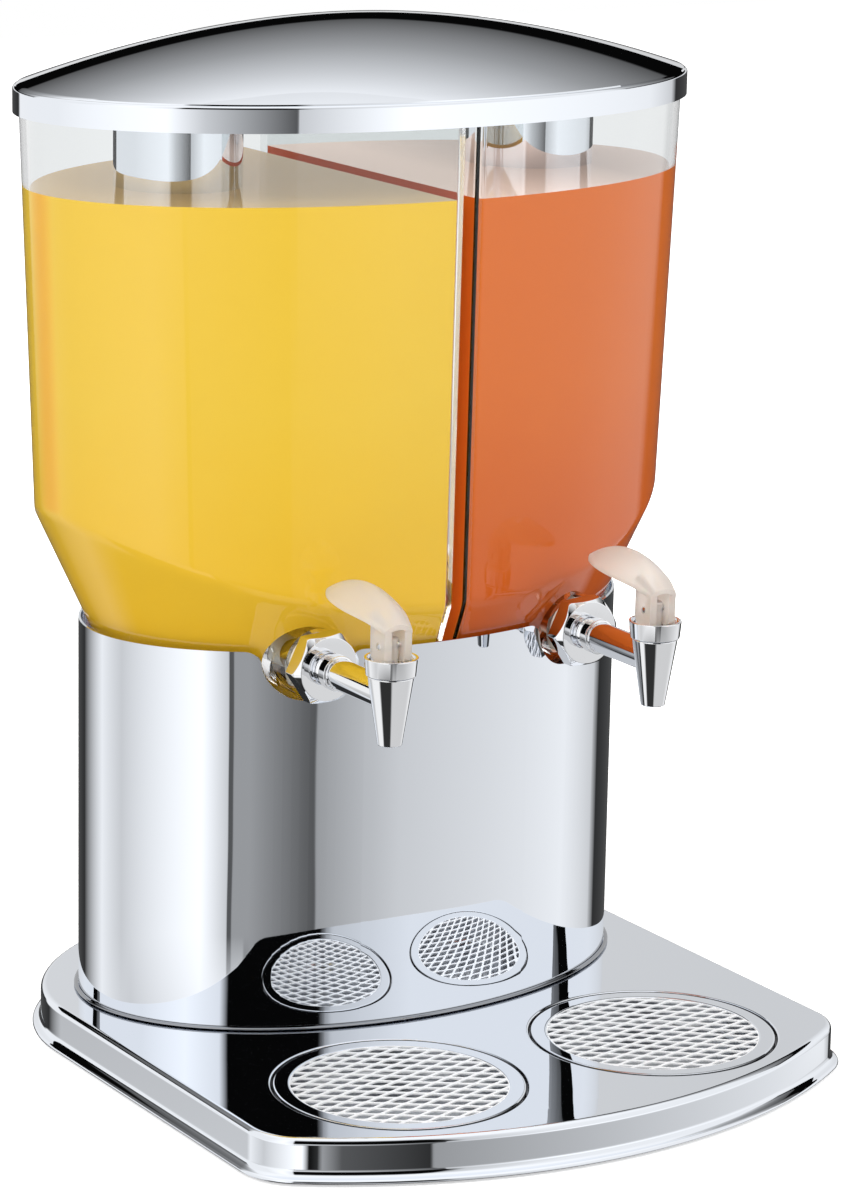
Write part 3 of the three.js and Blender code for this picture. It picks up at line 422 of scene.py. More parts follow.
def noise(tree, scale, detail, stretch=(1, 1, 1)):
    mapping = add_node(tree, "ShaderNodeMapping")
    feed(tree, (mapping.inputs["Vector"], mapping.inputs["Scale"]), (object_place(tree), stretch))
    texture = add_node(tree, "ShaderNodeTexNoise")
    sockets = [texture.inputs[name] for name in ("Vector", "Scale", "Detail")]
    feed(tree, sockets, (mapping.outputs["Vector"], scale, detail))
    return texture.outputs["Fac"]


def map_range(tree, value, low, high, to_low, to_high):
    node = add_node(tree, "ShaderNodeMapRange")
    feed(tree, node.inputs, (value, low, high, to_low, to_high))
    return node.outputs["Result"]


def math_node(tree, operation, *values, clamp=False):
    node = add_node(tree, "ShaderNodeMath", operation=operation, use_clamp=clamp)
    feed(tree, node.inputs, values)
    return node.outputs[0]


def mix_colors(tree, factor, a, b):
    node = add_node(tree, "ShaderNodeMix", data_type="RGBA")
    feed(tree, (node.inputs["Factor"], node.inputs[6], node.inputs[7]), (factor, a, b))
    return node.outputs[2]


def mix_shaders(tree, factor, a, b):
    """Ends a material in a mix of two shaders."""
    mix = add_node(tree, "ShaderNodeMixShader")
    feed(tree, mix.inputs, (factor, a.outputs[0], b.outputs[0]))
    tree.links.new(mix.outputs[0], tree.nodes["Material Output"].inputs["Surface"])


def add_bump(tree, shader, height, strength, distance):
    bump = add_node(tree, "ShaderNodeBump")
    sockets = [bump.inputs[name] for name in ("Strength", "Distance", "Height")]
    feed(tree, sockets, (strength, distance, height))
    tree.links.new(bump.outputs["Normal"], shader.inputs["Normal"])


def roughen(tree, shader, texture, low, high, bump=0.0, distance=0.05 * MM):
    """Roughness from low to high by a texture, and with it a bump."""
    tree.links.new(map_range(tree, texture, 0.3, 0.7, low, high), shader.inputs["Roughness"])
    if bump:
        add_bump(tree, shader, texture, bump, distance)


def metal(name, color, roughness, grain, stretch=(1, 1, 1), bump=0.0, wave=0.0, shine=1.0):
    material, tree, shader = new_material(name, {"Base Color": (*color, 1), "Metallic": shine})
    roughen(tree, shader, noise(tree, grain, 4, stretch), *roughness, bump, 0.02 * MM)
    if wave:
        add_bump(tree, shader, noise(tree, 11, 1, (1, 1, 0.7)), 1, wave)
    return material


def clear_plastic():
    """Clear plastic that bends what the camera sees. Shadows and mirrored views pass straight through it."""
    values = {"Base Color": (0.955, 0.963, 0.97, 1), "Roughness": 0.0, "IOR": 1.49, "Transmission Weight": 1}
    material, tree, shader = new_material("clear_plastic", values)
    path = add_node(tree, "ShaderNodeLightPath")
    through = add_node(tree, "ShaderNodeBsdfTransparent")
    through.inputs["Color"].default_value = (0.93, 0.94, 0.94, 1)
    inside = math_node(tree, "MODULO", path.outputs["Transmission Depth"], 2)
    mirrored = math_node(tree, "SUBTRACT", path.outputs["Is Glossy Ray"], inside, clamp=True)
    either = math_node(tree, "MAXIMUM", path.outputs["Is Shadow Ray"], path.outputs["Is Diffuse Ray"])
    mix_shaders(tree, math_node(tree, "MAXIMUM", either, mirrored), shader, through)
    return material


def juice(name, bottom_shade_color, high_color, flat_shade_color, lit_top_color, inner_glow):
    """Cloudy juice, darker towards the bottom as painted shade, with a deeper painted shade colour and a
    painted glow on its flat side, and a paler painted-light colour and glow on its surface.
    """
    material, tree, shader = new_material(name, {})
    place = split_xyz(tree, object_place(tree))
    # Painted shade: the juice is darker towards the bottom, where the column's rim shades it
    height = map_range(tree, place["Z"], JUICE_SHADED_HEIGHT, JUICE_LIT_HEIGHT, 0, 1)
    pulp = map_range(tree, noise(tree, 60, 5), 0.35, 0.65, -0.04, 0.04)
    ramp = add_node(tree, "ShaderNodeValToRGB")
    ramp.color_ramp.elements[0].color = (*bottom_shade_color, 1)
    ramp.color_ramp.elements[1].color = (*high_color, 1)
    tree.links.new(math_node(tree, "ADD", height, pulp), ramp.inputs["Fac"])
    facing = split_xyz(tree, add_node(tree, "ShaderNodeNewGeometry").outputs["Normal"])
    # Painted shade on the flat side facing the other tank: a deeper colour, which also glows a little as
    # painted light
    flat = map_range(tree, math_node(tree, "ABSOLUTE", facing["X"]), 0.985, 0.999, 0, 1)
    painted_shade_color = mix_colors(tree, flat, ramp.outputs["Color"], (*flat_shade_color, 1))
    # Painted light on the surface: a paler colour that glows, most strongly near the middle of the pair
    up = map_range(tree, facing["Z"], 0.3, 0.8, 0, 1)
    color = mix_colors(tree, up, painted_shade_color, (*lit_top_color, 1))
    tree.links.new(color, shader.inputs["Base Color"])
    tree.links.new(color, shader.inputs["Emission Color"])
    aside = math_node(tree, "ABSOLUTE", place["X"])
    painted_top_glow = math_node(tree, "MULTIPLY", up, map_range(tree, aside, *GLOW_FADE, inner_glow, OUTER_GLOW))
    painted_flat_glow = math_node(tree, "MULTIPLY", flat, FLAT_PAINTED_GLOW)
    tree.links.new(math_node(tree, "MAXIMUM", painted_top_glow, painted_flat_glow), shader.inputs["Emission Strength"])
    tree.links.new(map_range(tree, up, 0, 1, 0.3, 0.04), shader.inputs["Roughness"])
    tree.links.new(map_range(tree, up, 0, 1, 0.05, 0.5), shader.inputs["Specular IOR Level"])
    return material


def rubber(name, color, roughness):
    material, tree, shader = new_material(name, {"Base Color": (*color, 1)})
    roughen(tree, shader, noise(tree, 900, 3), roughness - 0.08, roughness + 0.08, 0.15)
    return material


def frosted():
    material, tree, shader = new_material("frosted_plastic", {
        "Base Color": (0.93, 0.87, 0.81, 1),
        "IOR": 1.45,
        "Transmission Weight": 0.65,
        "Subsurface Weight": 0.25,
        "Subsurface Radius": (0.005, 0.004, 0.003),
        "Subsurface Scale": 0.5,
    })
    roughen(tree, shader, noise(tree, 1500, 4), 0.3, 0.42, 0.2)
    return material


STEEL_COLOR = (0.835, 0.868, 0.92)
POLISHED = metal("polished_steel", STEEL_COLOR, (0.008, 0.02), 40)
COLUMN_STEEL = metal("column_steel", STEEL_COLOR, (0.008, 0.02), 40, wave=0.45 * MM)
BRUSHED = metal("satin_steel", (0.7, 0.71, 0.73), (0.16, 0.3), 900, (1, 1, 0.05), 0.3)
CHROME = metal("tap_chrome", (0.88, 0.89, 0.91), (0.01, 0.035), 200)
MESH_STEEL = metal("mesh_steel", (0.95, 0.96, 0.975), (0.4, 0.55), 600, shine=0.35)
CUP_STEEL = metal("cup_steel", (0.56, 0.575, 0.6), (0.14, 0.24), 900)
# Darker steel for the column's foot bead: painted shade at the column's foot
SHADED_BEAD_STEEL = metal("shaded_bead_steel", (0.34, 0.35, 0.37), (0.02, 0.05), 200)
# Near-black steel: painted shade inside narrow joints, not a colour of the steel
PAINTED_SHADE_STEEL = metal("painted_shade_steel", (0.07, 0.073, 0.08), (0.1, 0.2), 300)
CLEAR = clear_plastic()
# Each juice: a darker bottom colour as painted shade, its top colour, a painted shade colour for its flat
# side, a paler painted-light colour for its surface and the painted glow of the surface's middle
YELLOW = juice(
    "yellow_juice", (0.75, 0.43, 0.02), (0.74, 0.48, 0.045), (0.6, 0.3, 0.01), (0.62, 0.4, 0.13), 0.2
)
ORANGE = juice(
    "orange_juice", (0.54, 0.09, 0.01), (0.62, 0.14, 0.02), (0.6, 0.085, 0.012), (0.62, 0.45, 0.37), 0.8
)
FROSTED = frosted()
SILICONE = rubber("silicone", (0.66, 0.62, 0.54), 0.45)
RUBBER = rubber("black_rubber", (0.015, 0.015, 0.017), 0.7)


# Base tray


def base_outline(offset, steps=72):
    centre_y = BASE_FRONT_RADIUS - BASE_FRONT_DEPTH
    corner_x = BASE_HALF_WIDTH - BASE_CORNER_RADIUS
    reach = BASE_FRONT_RADIUS - BASE_CORNER_RADIUS
    corner_y = centre_y - math.sqrt(reach ** 2 - corner_x ** 2)
    turn = math.degrees(math.acos(corner_x / reach))
    rear = arc(0, 0, BASE_HALF_WIDTH + offset, 0, 180, steps, BASE_REAR_DEPTH + offset)
    corner = BASE_CORNER_RADIUS + offset
    left = arc(-corner_x, corner_y, corner, 180, 180 + turn, 16)
    bow = arc(0, centre_y, BASE_FRONT_RADIUS + offset, 180 + turn, 360 - turn, steps // 2)
    right = arc(corner_x, corner_y, corner, -turn, 0, 16)
    return [(x, y + AXIS_Y) for x, y in rear + left + bow[1:-1] + right]


def plate_with_wells(outline, z, radius, flip):
    """A flat plate at height z inside an outline, with a round hole over each well."""
    holes = [arc(s * WELL_X, WELL_Y, radius, 0, 360 - 360 / 96, 95) for s in SIDES.values()]
    loops = [at_height(outline, z)] + [at_height(hole, z) for hole in holes]
    points = [p for loop in loops for p in loop]
    triangles = [list(t) for t in tessellate_polygon(loops)]
    return points, [t[::-1] if flip else t for t in triangles]


def base_tray():
    r = BASE_EDGE_RADIUS
    lip = mm_profile([
        (2.6, 1.5), (3.4, 1.5), (3.9, 1.7), (4.1, 2.2), (4.0, 2.7), (3.6, 3.2),
        (2.8, 3.6), (1.6, 4.1), (0.7, 4.8), (0.2, 5.8), (0, 7.2),
    ])
    outer = lip + arc(-r, BASE_TOP - r, r, 0, 90, 8)
    inner = mm_profile([(2.6, 1.5), (0.6, 1.7), (-0.6, 5.8)])
    inner += [(-BASE_SHEET, BASE_TOP - r), (-r, BASE_TOP - BASE_SHEET)]
    walls = skin([at_height(base_outline(e), z) for e, z in outer], caps=False)
    lining = skin([at_height(base_outline(e), z) for e, z in inner], caps=False)
    top = plate_with_wells(base_outline(-r), BASE_TOP, WELL_RADIUS + WELL_EDGE_RADIUS, False)
    under = plate_with_wells(base_outline(-r), BASE_TOP - BASE_SHEET, WELL_RADIUS + WELL_SHEET, True)
    ledge = BASE_TOP - WELL_LEDGE_DEPTH
    e = WELL_EDGE_RADIUS
    profile = arc(WELL_RADIUS + e, BASE_TOP - e, e, 90, 180, 6) + [
        (WELL_RADIUS, ledge),
        (WELL_LEDGE_RADIUS, ledge),
        (WELL_LEDGE_RADIUS, ledge - WELL_SHEET),
        (WELL_RADIUS + WELL_SHEET, ledge - WELL_SHEET),
        (WELL_RADIUS + WELL_SHEET, BASE_TOP - BASE_SHEET),
    ]
    seats = [lathe(profile, (s * WELL_X, WELL_Y, 0), 96, closed=False) for s in SIDES.values()]
    return combine(walls, lining, top, under, *seats)


def paint_shade_where(obj, is_dark):
    """Gives the faces inside a narrow joint near-black steel: painted shade where no light reaches."""
    obj.data.materials.append(PAINTED_SHADE_STEEL)
    for face in obj.data.polygons:
        if is_dark(face.center):
            face.material_index = len(obj.data.materials) - 1


def well_distance(point):
    return math.hypot(abs(point.x) - WELL_X, point.y - WELL_Y)


def in_well_wall(point):
    return well_distance(point) < WELL_RADIUS + WELL_EDGE_RADIUS / 2 and point.z < BASE_TOP - SHADE_DEPTH


pan = piece("base_pan", base_tray(), "base", POLISHED, ["base_tray"], 40)
# Painted shade: the well's wall and ledge get near-black steel
paint_shade_where(pan, in_well_wall)

foot_profile = mm_profile([(0, 0), (7.5, 0), (9, 1.5), (9, 20.2), (0, 20.2)])
for place in ("front", "rear"):
    for side in SIDES:
        node = "foot_%s_%s" % (place, side)
        low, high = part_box(node)
        centre = ((low.x + high.x) / 2, (low.y + high.y) / 2, 0)
        stud = lathe(rounded(foot_profile, 1 * MM), centre, 48)
        piece("stud_%s_%s" % (place, side), stud, "base", RUBBER, [node])


# Column


def slot_floor(x):
    """Height of the column's edge at x: the round slot for the tap, with rounded corners."""
    x = abs(abs(x) - TAP_X)
    if x >= SLOT_EDGE_X:
        return COLUMN_TOP
    if x <= SLOT_TOUCH_X:
        return TAP_Z - math.sqrt(max(SLOT_RADIUS ** 2 - x ** 2, 0))
    return SLOT_EDGE_Z + math.sqrt(max(SLOT_EDGE_RADIUS ** 2 - (SLOT_EDGE_X - x) ** 2, 0))


def column_turns():
    """Where the uprights stand round the oval: evenly, and closer together at the slots' curves."""
    places = []
    for s in SIDES.values():
        places += [s * TAP_X + SLOT_TOUCH_X * math.sin(math.pi * (i / 40 - 0.5)) for i in range(41)]
        for i in range(1, 13):
            out = SLOT_EDGE_X - (SLOT_EDGE_X - SLOT_TOUCH_X) * math.cos(math.pi / 2 * i / 12)
            places += [s * TAP_X - out, s * TAP_X + out]
    turns = [2 * math.pi * i / 192 for i in range(192)]
    turns += [2 * math.pi - math.acos(x / COLUMN_HALF_WIDTH) for x in places]
    return sorted(set(round(t, 6) for t in turns))


def column_shell():
    """The wall as a grid: every upright runs from the base to the slot's edge or the column's top."""
    bottom = column_low.z
    turns = column_turns()

    def ring(row, inset):
        points = []
        for t in turns:
            x = (COLUMN_HALF_WIDTH - inset) * math.cos(t)
            y = AXIS_Y + (COLUMN_HALF_DEPTH - inset) * math.sin(t)
            top = slot_floor(COLUMN_HALF_WIDTH * math.cos(t)) if math.sin(t) < 0 else COLUMN_TOP
            points.append(Vector((x, y, bottom + (top - bottom) * row / COLUMN_ROWS)))
        return points

    rings = [ring(row, 0) for row in range(COLUMN_ROWS + 1)]
    rings += [ring(row, COLUMN_SHEET) for row in range(COLUMN_ROWS, -1, -1)]
    return skin(rings, loop=True)


piece("column_wall", column_shell(), "base", COLUMN_STEEL, ["column_shell"], 50)

ring_low, ring_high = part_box("column_foot_ring")
ring_reach = ring_high.x - COLUMN_HALF_WIDTH - BEAD_ROOT
ring_half = (ring_high.z - ring_low.z) / 2
bead = arc(BEAD_ROOT, ring_low.z + ring_half, ring_reach, -90, 90, 12, ring_half)
bead_shape = skin(oval_rings(COLUMN_HALF_WIDTH, COLUMN_HALF_DEPTH, bead), loop=True)
# The bead gets darker steel: painted shade along the column's foot
piece("column_bead", bead_shape, "base", SHADED_BEAD_STEEL, ["column_foot_ring"])

shelf_low, shelf_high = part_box("tank_shelf")
shelf_profile = [
    (-SHELF_GAP - SHELF_SHEET - SHELF_BEVEL, shelf_high.z - SHELF_SHEET),
    (-SHELF_GAP - SHELF_SHEET, shelf_high.z - SHELF_BEVEL - SHELF_SHEET),
    (-SHELF_GAP - SHELF_SHEET, shelf_low.z),
    (-SHELF_GAP, shelf_low.z),
    (-SHELF_GAP, shelf_high.z - SHELF_BEVEL),
    (-SHELF_GAP - SHELF_BEVEL, shelf_high.z),
]
shelf_shape = skin(oval_rings(COLUMN_HALF_WIDTH, COLUMN_HALF_DEPTH, shelf_profile))
piece("column_shelf", shelf_shape, "base", BRUSHED, ["tank_shelf"])


# Drip cups and grilles


def mesh_plate(turn_degrees, low, high):
    """Expanded sheet: diamonds in rows, every second row moved along by half a pitch."""
    half_long = MESH_LONG_PITCH / 2 - MESH_STRAND
    half_short = half_long * MESH_SHORT_PITCH / MESH_LONG_PITCH
    reach = GRILLE_INNER + half_long
    rows = math.ceil(2 * reach / MESH_SHORT_PITCH)
    columns = math.ceil(reach / MESH_LONG_PITCH) + 1
    turn = Matrix.Rotation(math.radians(turn_degrees), 2)
    corners = [Vector(c) for c in ((-half_long, 0), (0, -half_short), (half_long, 0), (0, half_short))]
    vertices, faces = [], []
    for row in range(-rows, rows + 1):
        for column in range(-columns, columns + 1):
            shift = 0.5 if row % 2 else 0
            centre = Vector(((column + shift) * MESH_LONG_PITCH, row * MESH_SHORT_PITCH / 2))
            if centre.length > reach:
                continue
            outline = []
            for i, here in enumerate(corners):
                for other in (corners[i - 1], corners[(i + 1) % 4]):
                    outline.append(turn @ (here.lerp(other, MESH_CORNER_SHARE) + centre))
            start = len(vertices)
            n = len(outline)
            vertices += at_height(outline, low) + at_height(outline, high)
            faces.append([start + i for i in range(n)][::-1])
            faces.append([start + n + i for i in range(n)])
            for i in range(n):
                j = (i + 1) % n
                faces.append([start + i, start + j, start + n + j, start + n + i])
    return vertices, faces


def vessel_profile(radius, bottom, bevel, sheet, brim):
    """A round vessel of sheet with a bevelled foot: up its outside, over the brim and down its inside."""
    outside = [(0, bottom), (radius - bevel, bottom), (radius, bottom + bevel)]
    inside = [(radius - sheet, bottom + bevel), (radius - bevel, bottom + sheet), (0, bottom + sheet)]
    return outside + brim + inside


def drip_cup(side):
    x = SIDES[side] * WELL_X
    radius = WELL_LEDGE_RADIUS - CUP_CLEARANCE
    top = FLANGE_Z + CUP_SHEET
    brim = [(radius, FLANGE_Z), (GRILLE_RADIUS, FLANGE_Z), (GRILLE_RADIUS, top), (radius - CUP_SHEET, top)]
    profile = vessel_profile(radius, cup_low.z, CUP_BEVEL, CUP_SHEET, brim)
    shape = lathe(rounded(profile, CUP_SHEET), (x, WELL_Y, 0), 96)
    piece("cup_" + side, shape, "drip_cup_" + side, CUP_STEEL, ["drip_cup_" + side])


def on_ring_wall(point):
    return well_distance(point) > GRILLE_RADIUS - RING_SHADE_REACH and point.z < BASE_TOP - RING_SHADE_REACH / 2


def drip_grille(side):
    """The ring, with the mesh cut out of a plate and joined to it as one piece."""
    x = SIDES[side] * WELL_X
    low = FLANGE_Z + GRILLE_LIFT
    e, outer_fall, inner_fall = GRILLE_EDGE, GRILLE_OUTER_FALL, GRILLE_INNER_FALL
    profile = [(GRILLE_INNER, low), (GRILLE_RADIUS, low)]
    profile += arc(GRILLE_RADIUS - e, BASE_TOP - outer_fall, e, 0, 90, 8, outer_fall)
    profile += arc(GRILLE_INNER + e, BASE_TOP - inner_fall, e, 90, 180, 8, inner_fall)
    ring = add_object("grille_" + side, lathe(profile, (x, WELL_Y, 0), 128), POLISHED)
    top = BASE_TOP - MESH_DROP
    plate_profile = rod_profile(GRILLE_INNER + 1 * MM, top - MESH_THICKNESS, top)
    plate = add_object("mesh_plate", lathe(plate_profile, (0, 0, 0), 96))
    cutters = add_object("mesh_gaps", mesh_plate(MESH_TURNS[side], top - 2 * MM, top + 1 * MM))
    disc_profile = rod_profile(GRILLE_INNER - 0.2 * MM, top - 3 * MM, top + 2 * MM)
    boolean(cutters, add_object("mesh_disc", lathe(disc_profile, (0, 0, 0), 96)), "INTERSECT")
    boolean(plate, cutters, "DIFFERENCE")
    bm = bmesh.new()
    bm.from_mesh(plate.data)
    bmesh.ops.translate(bm, verts=bm.verts, vec=(x, WELL_Y, 0))
    for face in bm.faces:
        face.material_index = 1
    bm.from_mesh(ring.data)
    bm.to_mesh(ring.data)
    bm.free()
    bpy.data.objects.remove(plate)
    ring.data.materials.append(MESH_STEEL)
    tidy_mesh(ring, 40)
    # Painted shade: the grille ring's outer wall gets near-black steel
    paint_shade_where(ring, on_ring_wall)
    dress(ring, "drip_grille_" + side, ["drip_grille_" + side])


for side in SIDES:
    drip_cup(side)
    drip_grille(side)


# Tanks and juice


def between(low, high, z):
    share = (z - low[0]) / (high[0] - low[0])
    return low[1] + (high[1] - low[1]) * share, low[2] + (high[2] - low[2]) * share


def smooth_least(a, b, width):
    h = max(width - abs(a - b), 0) / width
    return min(a, b) - h * h * width / 4


def tank_outline(z, inset, sign, flat_gap=0.0, steps=72):
    """Half an oval at height z. The upright wall and the bevel below it meet in a softened crease."""
    body = between(WAIST, RIM, z)
    bevel = between(BEVEL_LOW, BEVEL_HIGH, z)
    body = [v - inset for v in body]
    bevel = [v - inset for v in bevel]
    corner = TANK_CORNER_RADIUS - inset
    flat_x = TANK_HALF_GAP + inset + flat_gap
    start_x = flat_x + corner

    def depth_at(x, half):
        return half[1] * math.sqrt(max(1 - (x / half[0]) ** 2, 0))

    start_y = smooth_least(depth_at(start_x, body), depth_at(start_x, bevel), TANK_CREASE_BLEND)

    def reach(turn, half):
        return 1 / math.hypot(math.cos(turn) / half[0], math.sin(turn) / half[1])

    start = math.atan2(start_y * body[0] / body[1], start_x)
    points = arc(start_x, -(start_y - corner), corner, 180, 270, 8)[:-1]
    for i in range(steps + 1):
        t = start * (2 * i / steps - 1)
        turn = math.atan2(body[1] * math.sin(t), body[0] * math.cos(t))
        radius = smooth_least(reach(turn, body), reach(turn, bevel), TANK_CREASE_BLEND)
        points.append((radius * math.cos(turn), radius * math.sin(turn)))
    points += arc(start_x, start_y - corner, corner, 90, 180, 8)[1:]
    return [(sign * x, y + AXIS_Y) for x, y in points]


def tank_heights(bottom, top):
    """Heights of the rings: close together over the crease, wider elsewhere."""
    steps = [bottom, bottom + 8 * MM, bottom + 20 * MM, bottom + 30 * MM]
    z = CREASE_LOW
    while z < CREASE_HIGH:
        steps.append(z)
        z += FINE_STEP
    while z < top - COARSE_STEP:
        steps.append(z)
        z += COARSE_STEP
    return steps + [top]


def tank_rings(sign, inset, bottom, top, flat_gap=0.0):
    return [at_height(tank_outline(z, inset, sign, flat_gap), z) for z in tank_heights(bottom, top)]


def tank_solid(name, sign):
    rim = TANK_TOP - TANK_RIM_EDGE
    outer = [at_height(tank_outline(TANK_BOTTOM, TANK_FOOT_EDGE, sign), TANK_BOTTOM)]
    outer += tank_rings(sign, 0, TANK_BOTTOM + TANK_FOOT_EDGE, rim)
    outer.append(at_height(tank_outline(TANK_TOP, TANK_RIM_EDGE, sign), TANK_TOP))
    inner = tank_rings(sign, TANK_WALL, TANK_BOTTOM + TANK_FLOOR, rim)
    inner.append(at_height(tank_outline(TANK_TOP, TANK_WALL - TANK_RIM_EDGE, sign), TANK_TOP))
    return add_object(name, skin(outer + inner[::-1]), CLEAR)


def cut_round(obj, radius, low, high, side, operation="DIFFERENCE"):
    """Cuts or adds a cylinder along y on the tap's line."""
    cylinder = lathe(rod_profile(radius, low, high), (SIDES[side] * TAP_X, AXIS_Y, TAP_Z), 64, "y")
    boolean(obj, add_object("cylinder", cylinder), operation)


def make_tank(side):
    tank = tank_solid("tank_wall_" + side, SIDES[side])
    cut_round(tank, BOSS_RADIUS, BOSS_FRONT, BOSS_BACK, side, "UNION")
    cut_round(tank, SPOT_FACE_RADIUS, BOSS_BACK, BOSS_BACK + 14 * MM, side)
    cut_round(tank, HOLE_RADIUS, BOSS_FRONT - REACH, BOSS_BACK + REACH, side)
    tidy_mesh(tank, 28)
    dress(tank, "tank_" + side, ["tank_" + side])


def make_juice(side, material):
    bottom = TANK_BOTTOM + TANK_FLOOR - JUICE_OVERLAP
    rings = tank_rings(SIDES[side], TANK_WALL - JUICE_OVERLAP, bottom, JUICE_TOP, JUICE_GAP)
    fill = add_object("juice_" + side, skin(rings), material)
    cut_round(fill, SPOT_FACE_RADIUS, -80 * MM, FLANGE_BACK, side)
    tidy_mesh(fill, 28)
    dress(fill, "tank_" + side)


for side, material in (("left", YELLOW), ("right", ORANGE)):
    make_tank(side)
    make_juice(side, material)


# Lid and cooling tubes


def dome_rings(shares, drop):
    """Rings of the dome at shares of its half width, lowered by drop, and its crown."""
    heights = [LID_BAND_TOP + LID_RISE * (1 - share ** DOME_POWER) - drop for share in shares]
    rings = []
    for share, z in zip(shares, heights):
        rings.append(at_height(oval(LID_HALF_WIDTH * share, LID_HALF_DEPTH * share, OVAL_STEPS), z))
    return rings + [[Vector((0, AXIS_Y, LID_BAND_TOP + LID_RISE - drop))]]


def lid_shape():
    r = LID_EDGE_RADIUS
    band = [(0, LID_BAND_BOTTOM)] + arc(-r, LID_BAND_TOP - r, r, 0, 80, 6)
    outer = oval_rings(LID_HALF_WIDTH, LID_HALF_DEPTH, band, OVAL_STEPS)
    shares = [1 - 0.03 * (i / 4) - 0.012 for i in range(5)] + [0.94 - 0.94 * i / 28 for i in range(28)]
    under = dome_rings([share for share in shares if share < LID_SEAT_SHARE], LID_SHEET)[::-1]
    seat = oval(LID_HALF_WIDTH * LID_SEAT_SHARE, LID_HALF_DEPTH * LID_SEAT_SHARE, OVAL_STEPS)
    under.append(at_height(seat, LID_SEAT_HEIGHT))
    lining = [(-LID_SHEET, LID_SEAT_HEIGHT), (-LID_SHEET, LID_BAND_BOTTOM)]
    under += oval_rings(LID_HALF_WIDTH, LID_HALF_DEPTH, lining, OVAL_STEPS)
    return combine(skin(outer + dome_rings(shares, 0), caps=False), skin(under + [outer[0]], caps=False))


piece("lid_dome", lid_shape(), "lid", POLISHED, ["lid_shell"], 25)

brim = [(ICE_RADIUS, ICE_TOP), (ICE_RADIUS - ICE_SHEET, ICE_TOP)]
cooler_profile = vessel_profile(ICE_RADIUS, ICE_BOTTOM, ICE_BEVEL, ICE_SHEET, brim)
for side, sign in SIDES.items():
    place = (sign * ICE_X, AXIS_Y, 0)
    body = "ice_tube_" + side
    shape = lathe(rounded(cooler_profile, 2.5 * MM), place, 96)
    piece("cooler_" + side, shape, body, POLISHED, ["ice_tube_" + side])
    low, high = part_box("ice_tube_seal_" + side)
    seal = lathe(rounded(ring_profile(SEAL_INNER, SEAL_OUTER, low.z, high.z), 0.6 * MM), place, 64)
    piece("cooler_seal_" + side, seal, body, SILICONE, ["ice_tube_seal_" + side])
    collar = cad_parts["lid_collar_" + side].data
    collar.materials.clear()
    collar.materials.append(BRUSHED)


# Taps


def tap_place(side, y=AXIS_Y, z=TAP_Z):
    return Vector((SIDES[side] * TAP_X, y, z))


def tap_lathe(name, profile, side, body, material, node, rounding, upright=False, steps=64):
    """A turned piece on the shank's line, or on the valve's upright one."""
    place = tap_place(side, VALVE_Y if upright else AXIS_Y)
    shape = lathe(rounded(profile, rounding), place, steps, "z" if upright else "y")
    piece(name + "_" + side, shape, body + side, material, [node + "_" + side])


def tap_shank(side):
    """The threaded bolt, three turns of its thread in view, with its flange inside the tank."""
    root = THREAD_RADIUS - 0.8 * MM
    profile = [(SHANK_BORE, SHANK_FRONT), (root - 0.1 * MM, SHANK_FRONT)]
    y = SHANK_FRONT
    for _ in range(3):
        crest = [(THREAD_RADIUS, y + 0.85 * MM), (THREAD_RADIUS, y + 1.05 * MM)]
        y += THREAD_PITCH
        profile += crest + [(root, y)]
    front = FLANGE_BACK - 0.3 * MM - 3 * MM
    back = FLANGE_BACK - 0.3 * MM
    profile += [(THREAD_RADIUS, y + 0.8 * MM), (THREAD_RADIUS, front), (FLANGE_RADIUS, front)]
    profile += [(FLANGE_RADIUS, back), (SHANK_BORE, back)]
    tap_lathe("shank", profile, side, "tank_", CHROME, "tap_shank", 0.2 * MM)


def tap_nut(side):
    place = tap_place(side)
    corner = NUT_FLATS / math.sqrt(3)
    outline = arc(0, 0, corner, 4, 304, 5)
    rings = [[place + Vector((a, y, b)) for a, b in outline] for y in (NUT_FRONT, NUT_BACK)]
    nut = add_object("nut_" + side, skin(rings), CHROME)
    face = NUT_FLATS / 2 - 0.65 * MM
    slant = 2.6 * MM
    turned = [
        (0, NUT_FRONT),
        (face, NUT_FRONT),
        (face + slant, NUT_FRONT + slant),
        (corner + REACH, NUT_BACK + REACH),
        (0, NUT_BACK + REACH),
    ]
    boolean(nut, add_object("turned", lathe(turned, place, 96, "y")), "INTERSECT")
    cut_round(nut, HOLE_RADIUS, NUT_FRONT - REACH, NUT_BACK + REACH, side)
    bevel = nut.modifiers.new("edge", "BEVEL")
    bevel.width = NUT_EDGE
    bevel.segments = 2
    bevel.limit_method = "ANGLE"
    bevel.angle_limit = math.radians(25)
    apply_modifiers(nut)
    tidy_mesh(nut, 20)
    dress(nut, "tank_" + side, ["tap_nut_" + side])


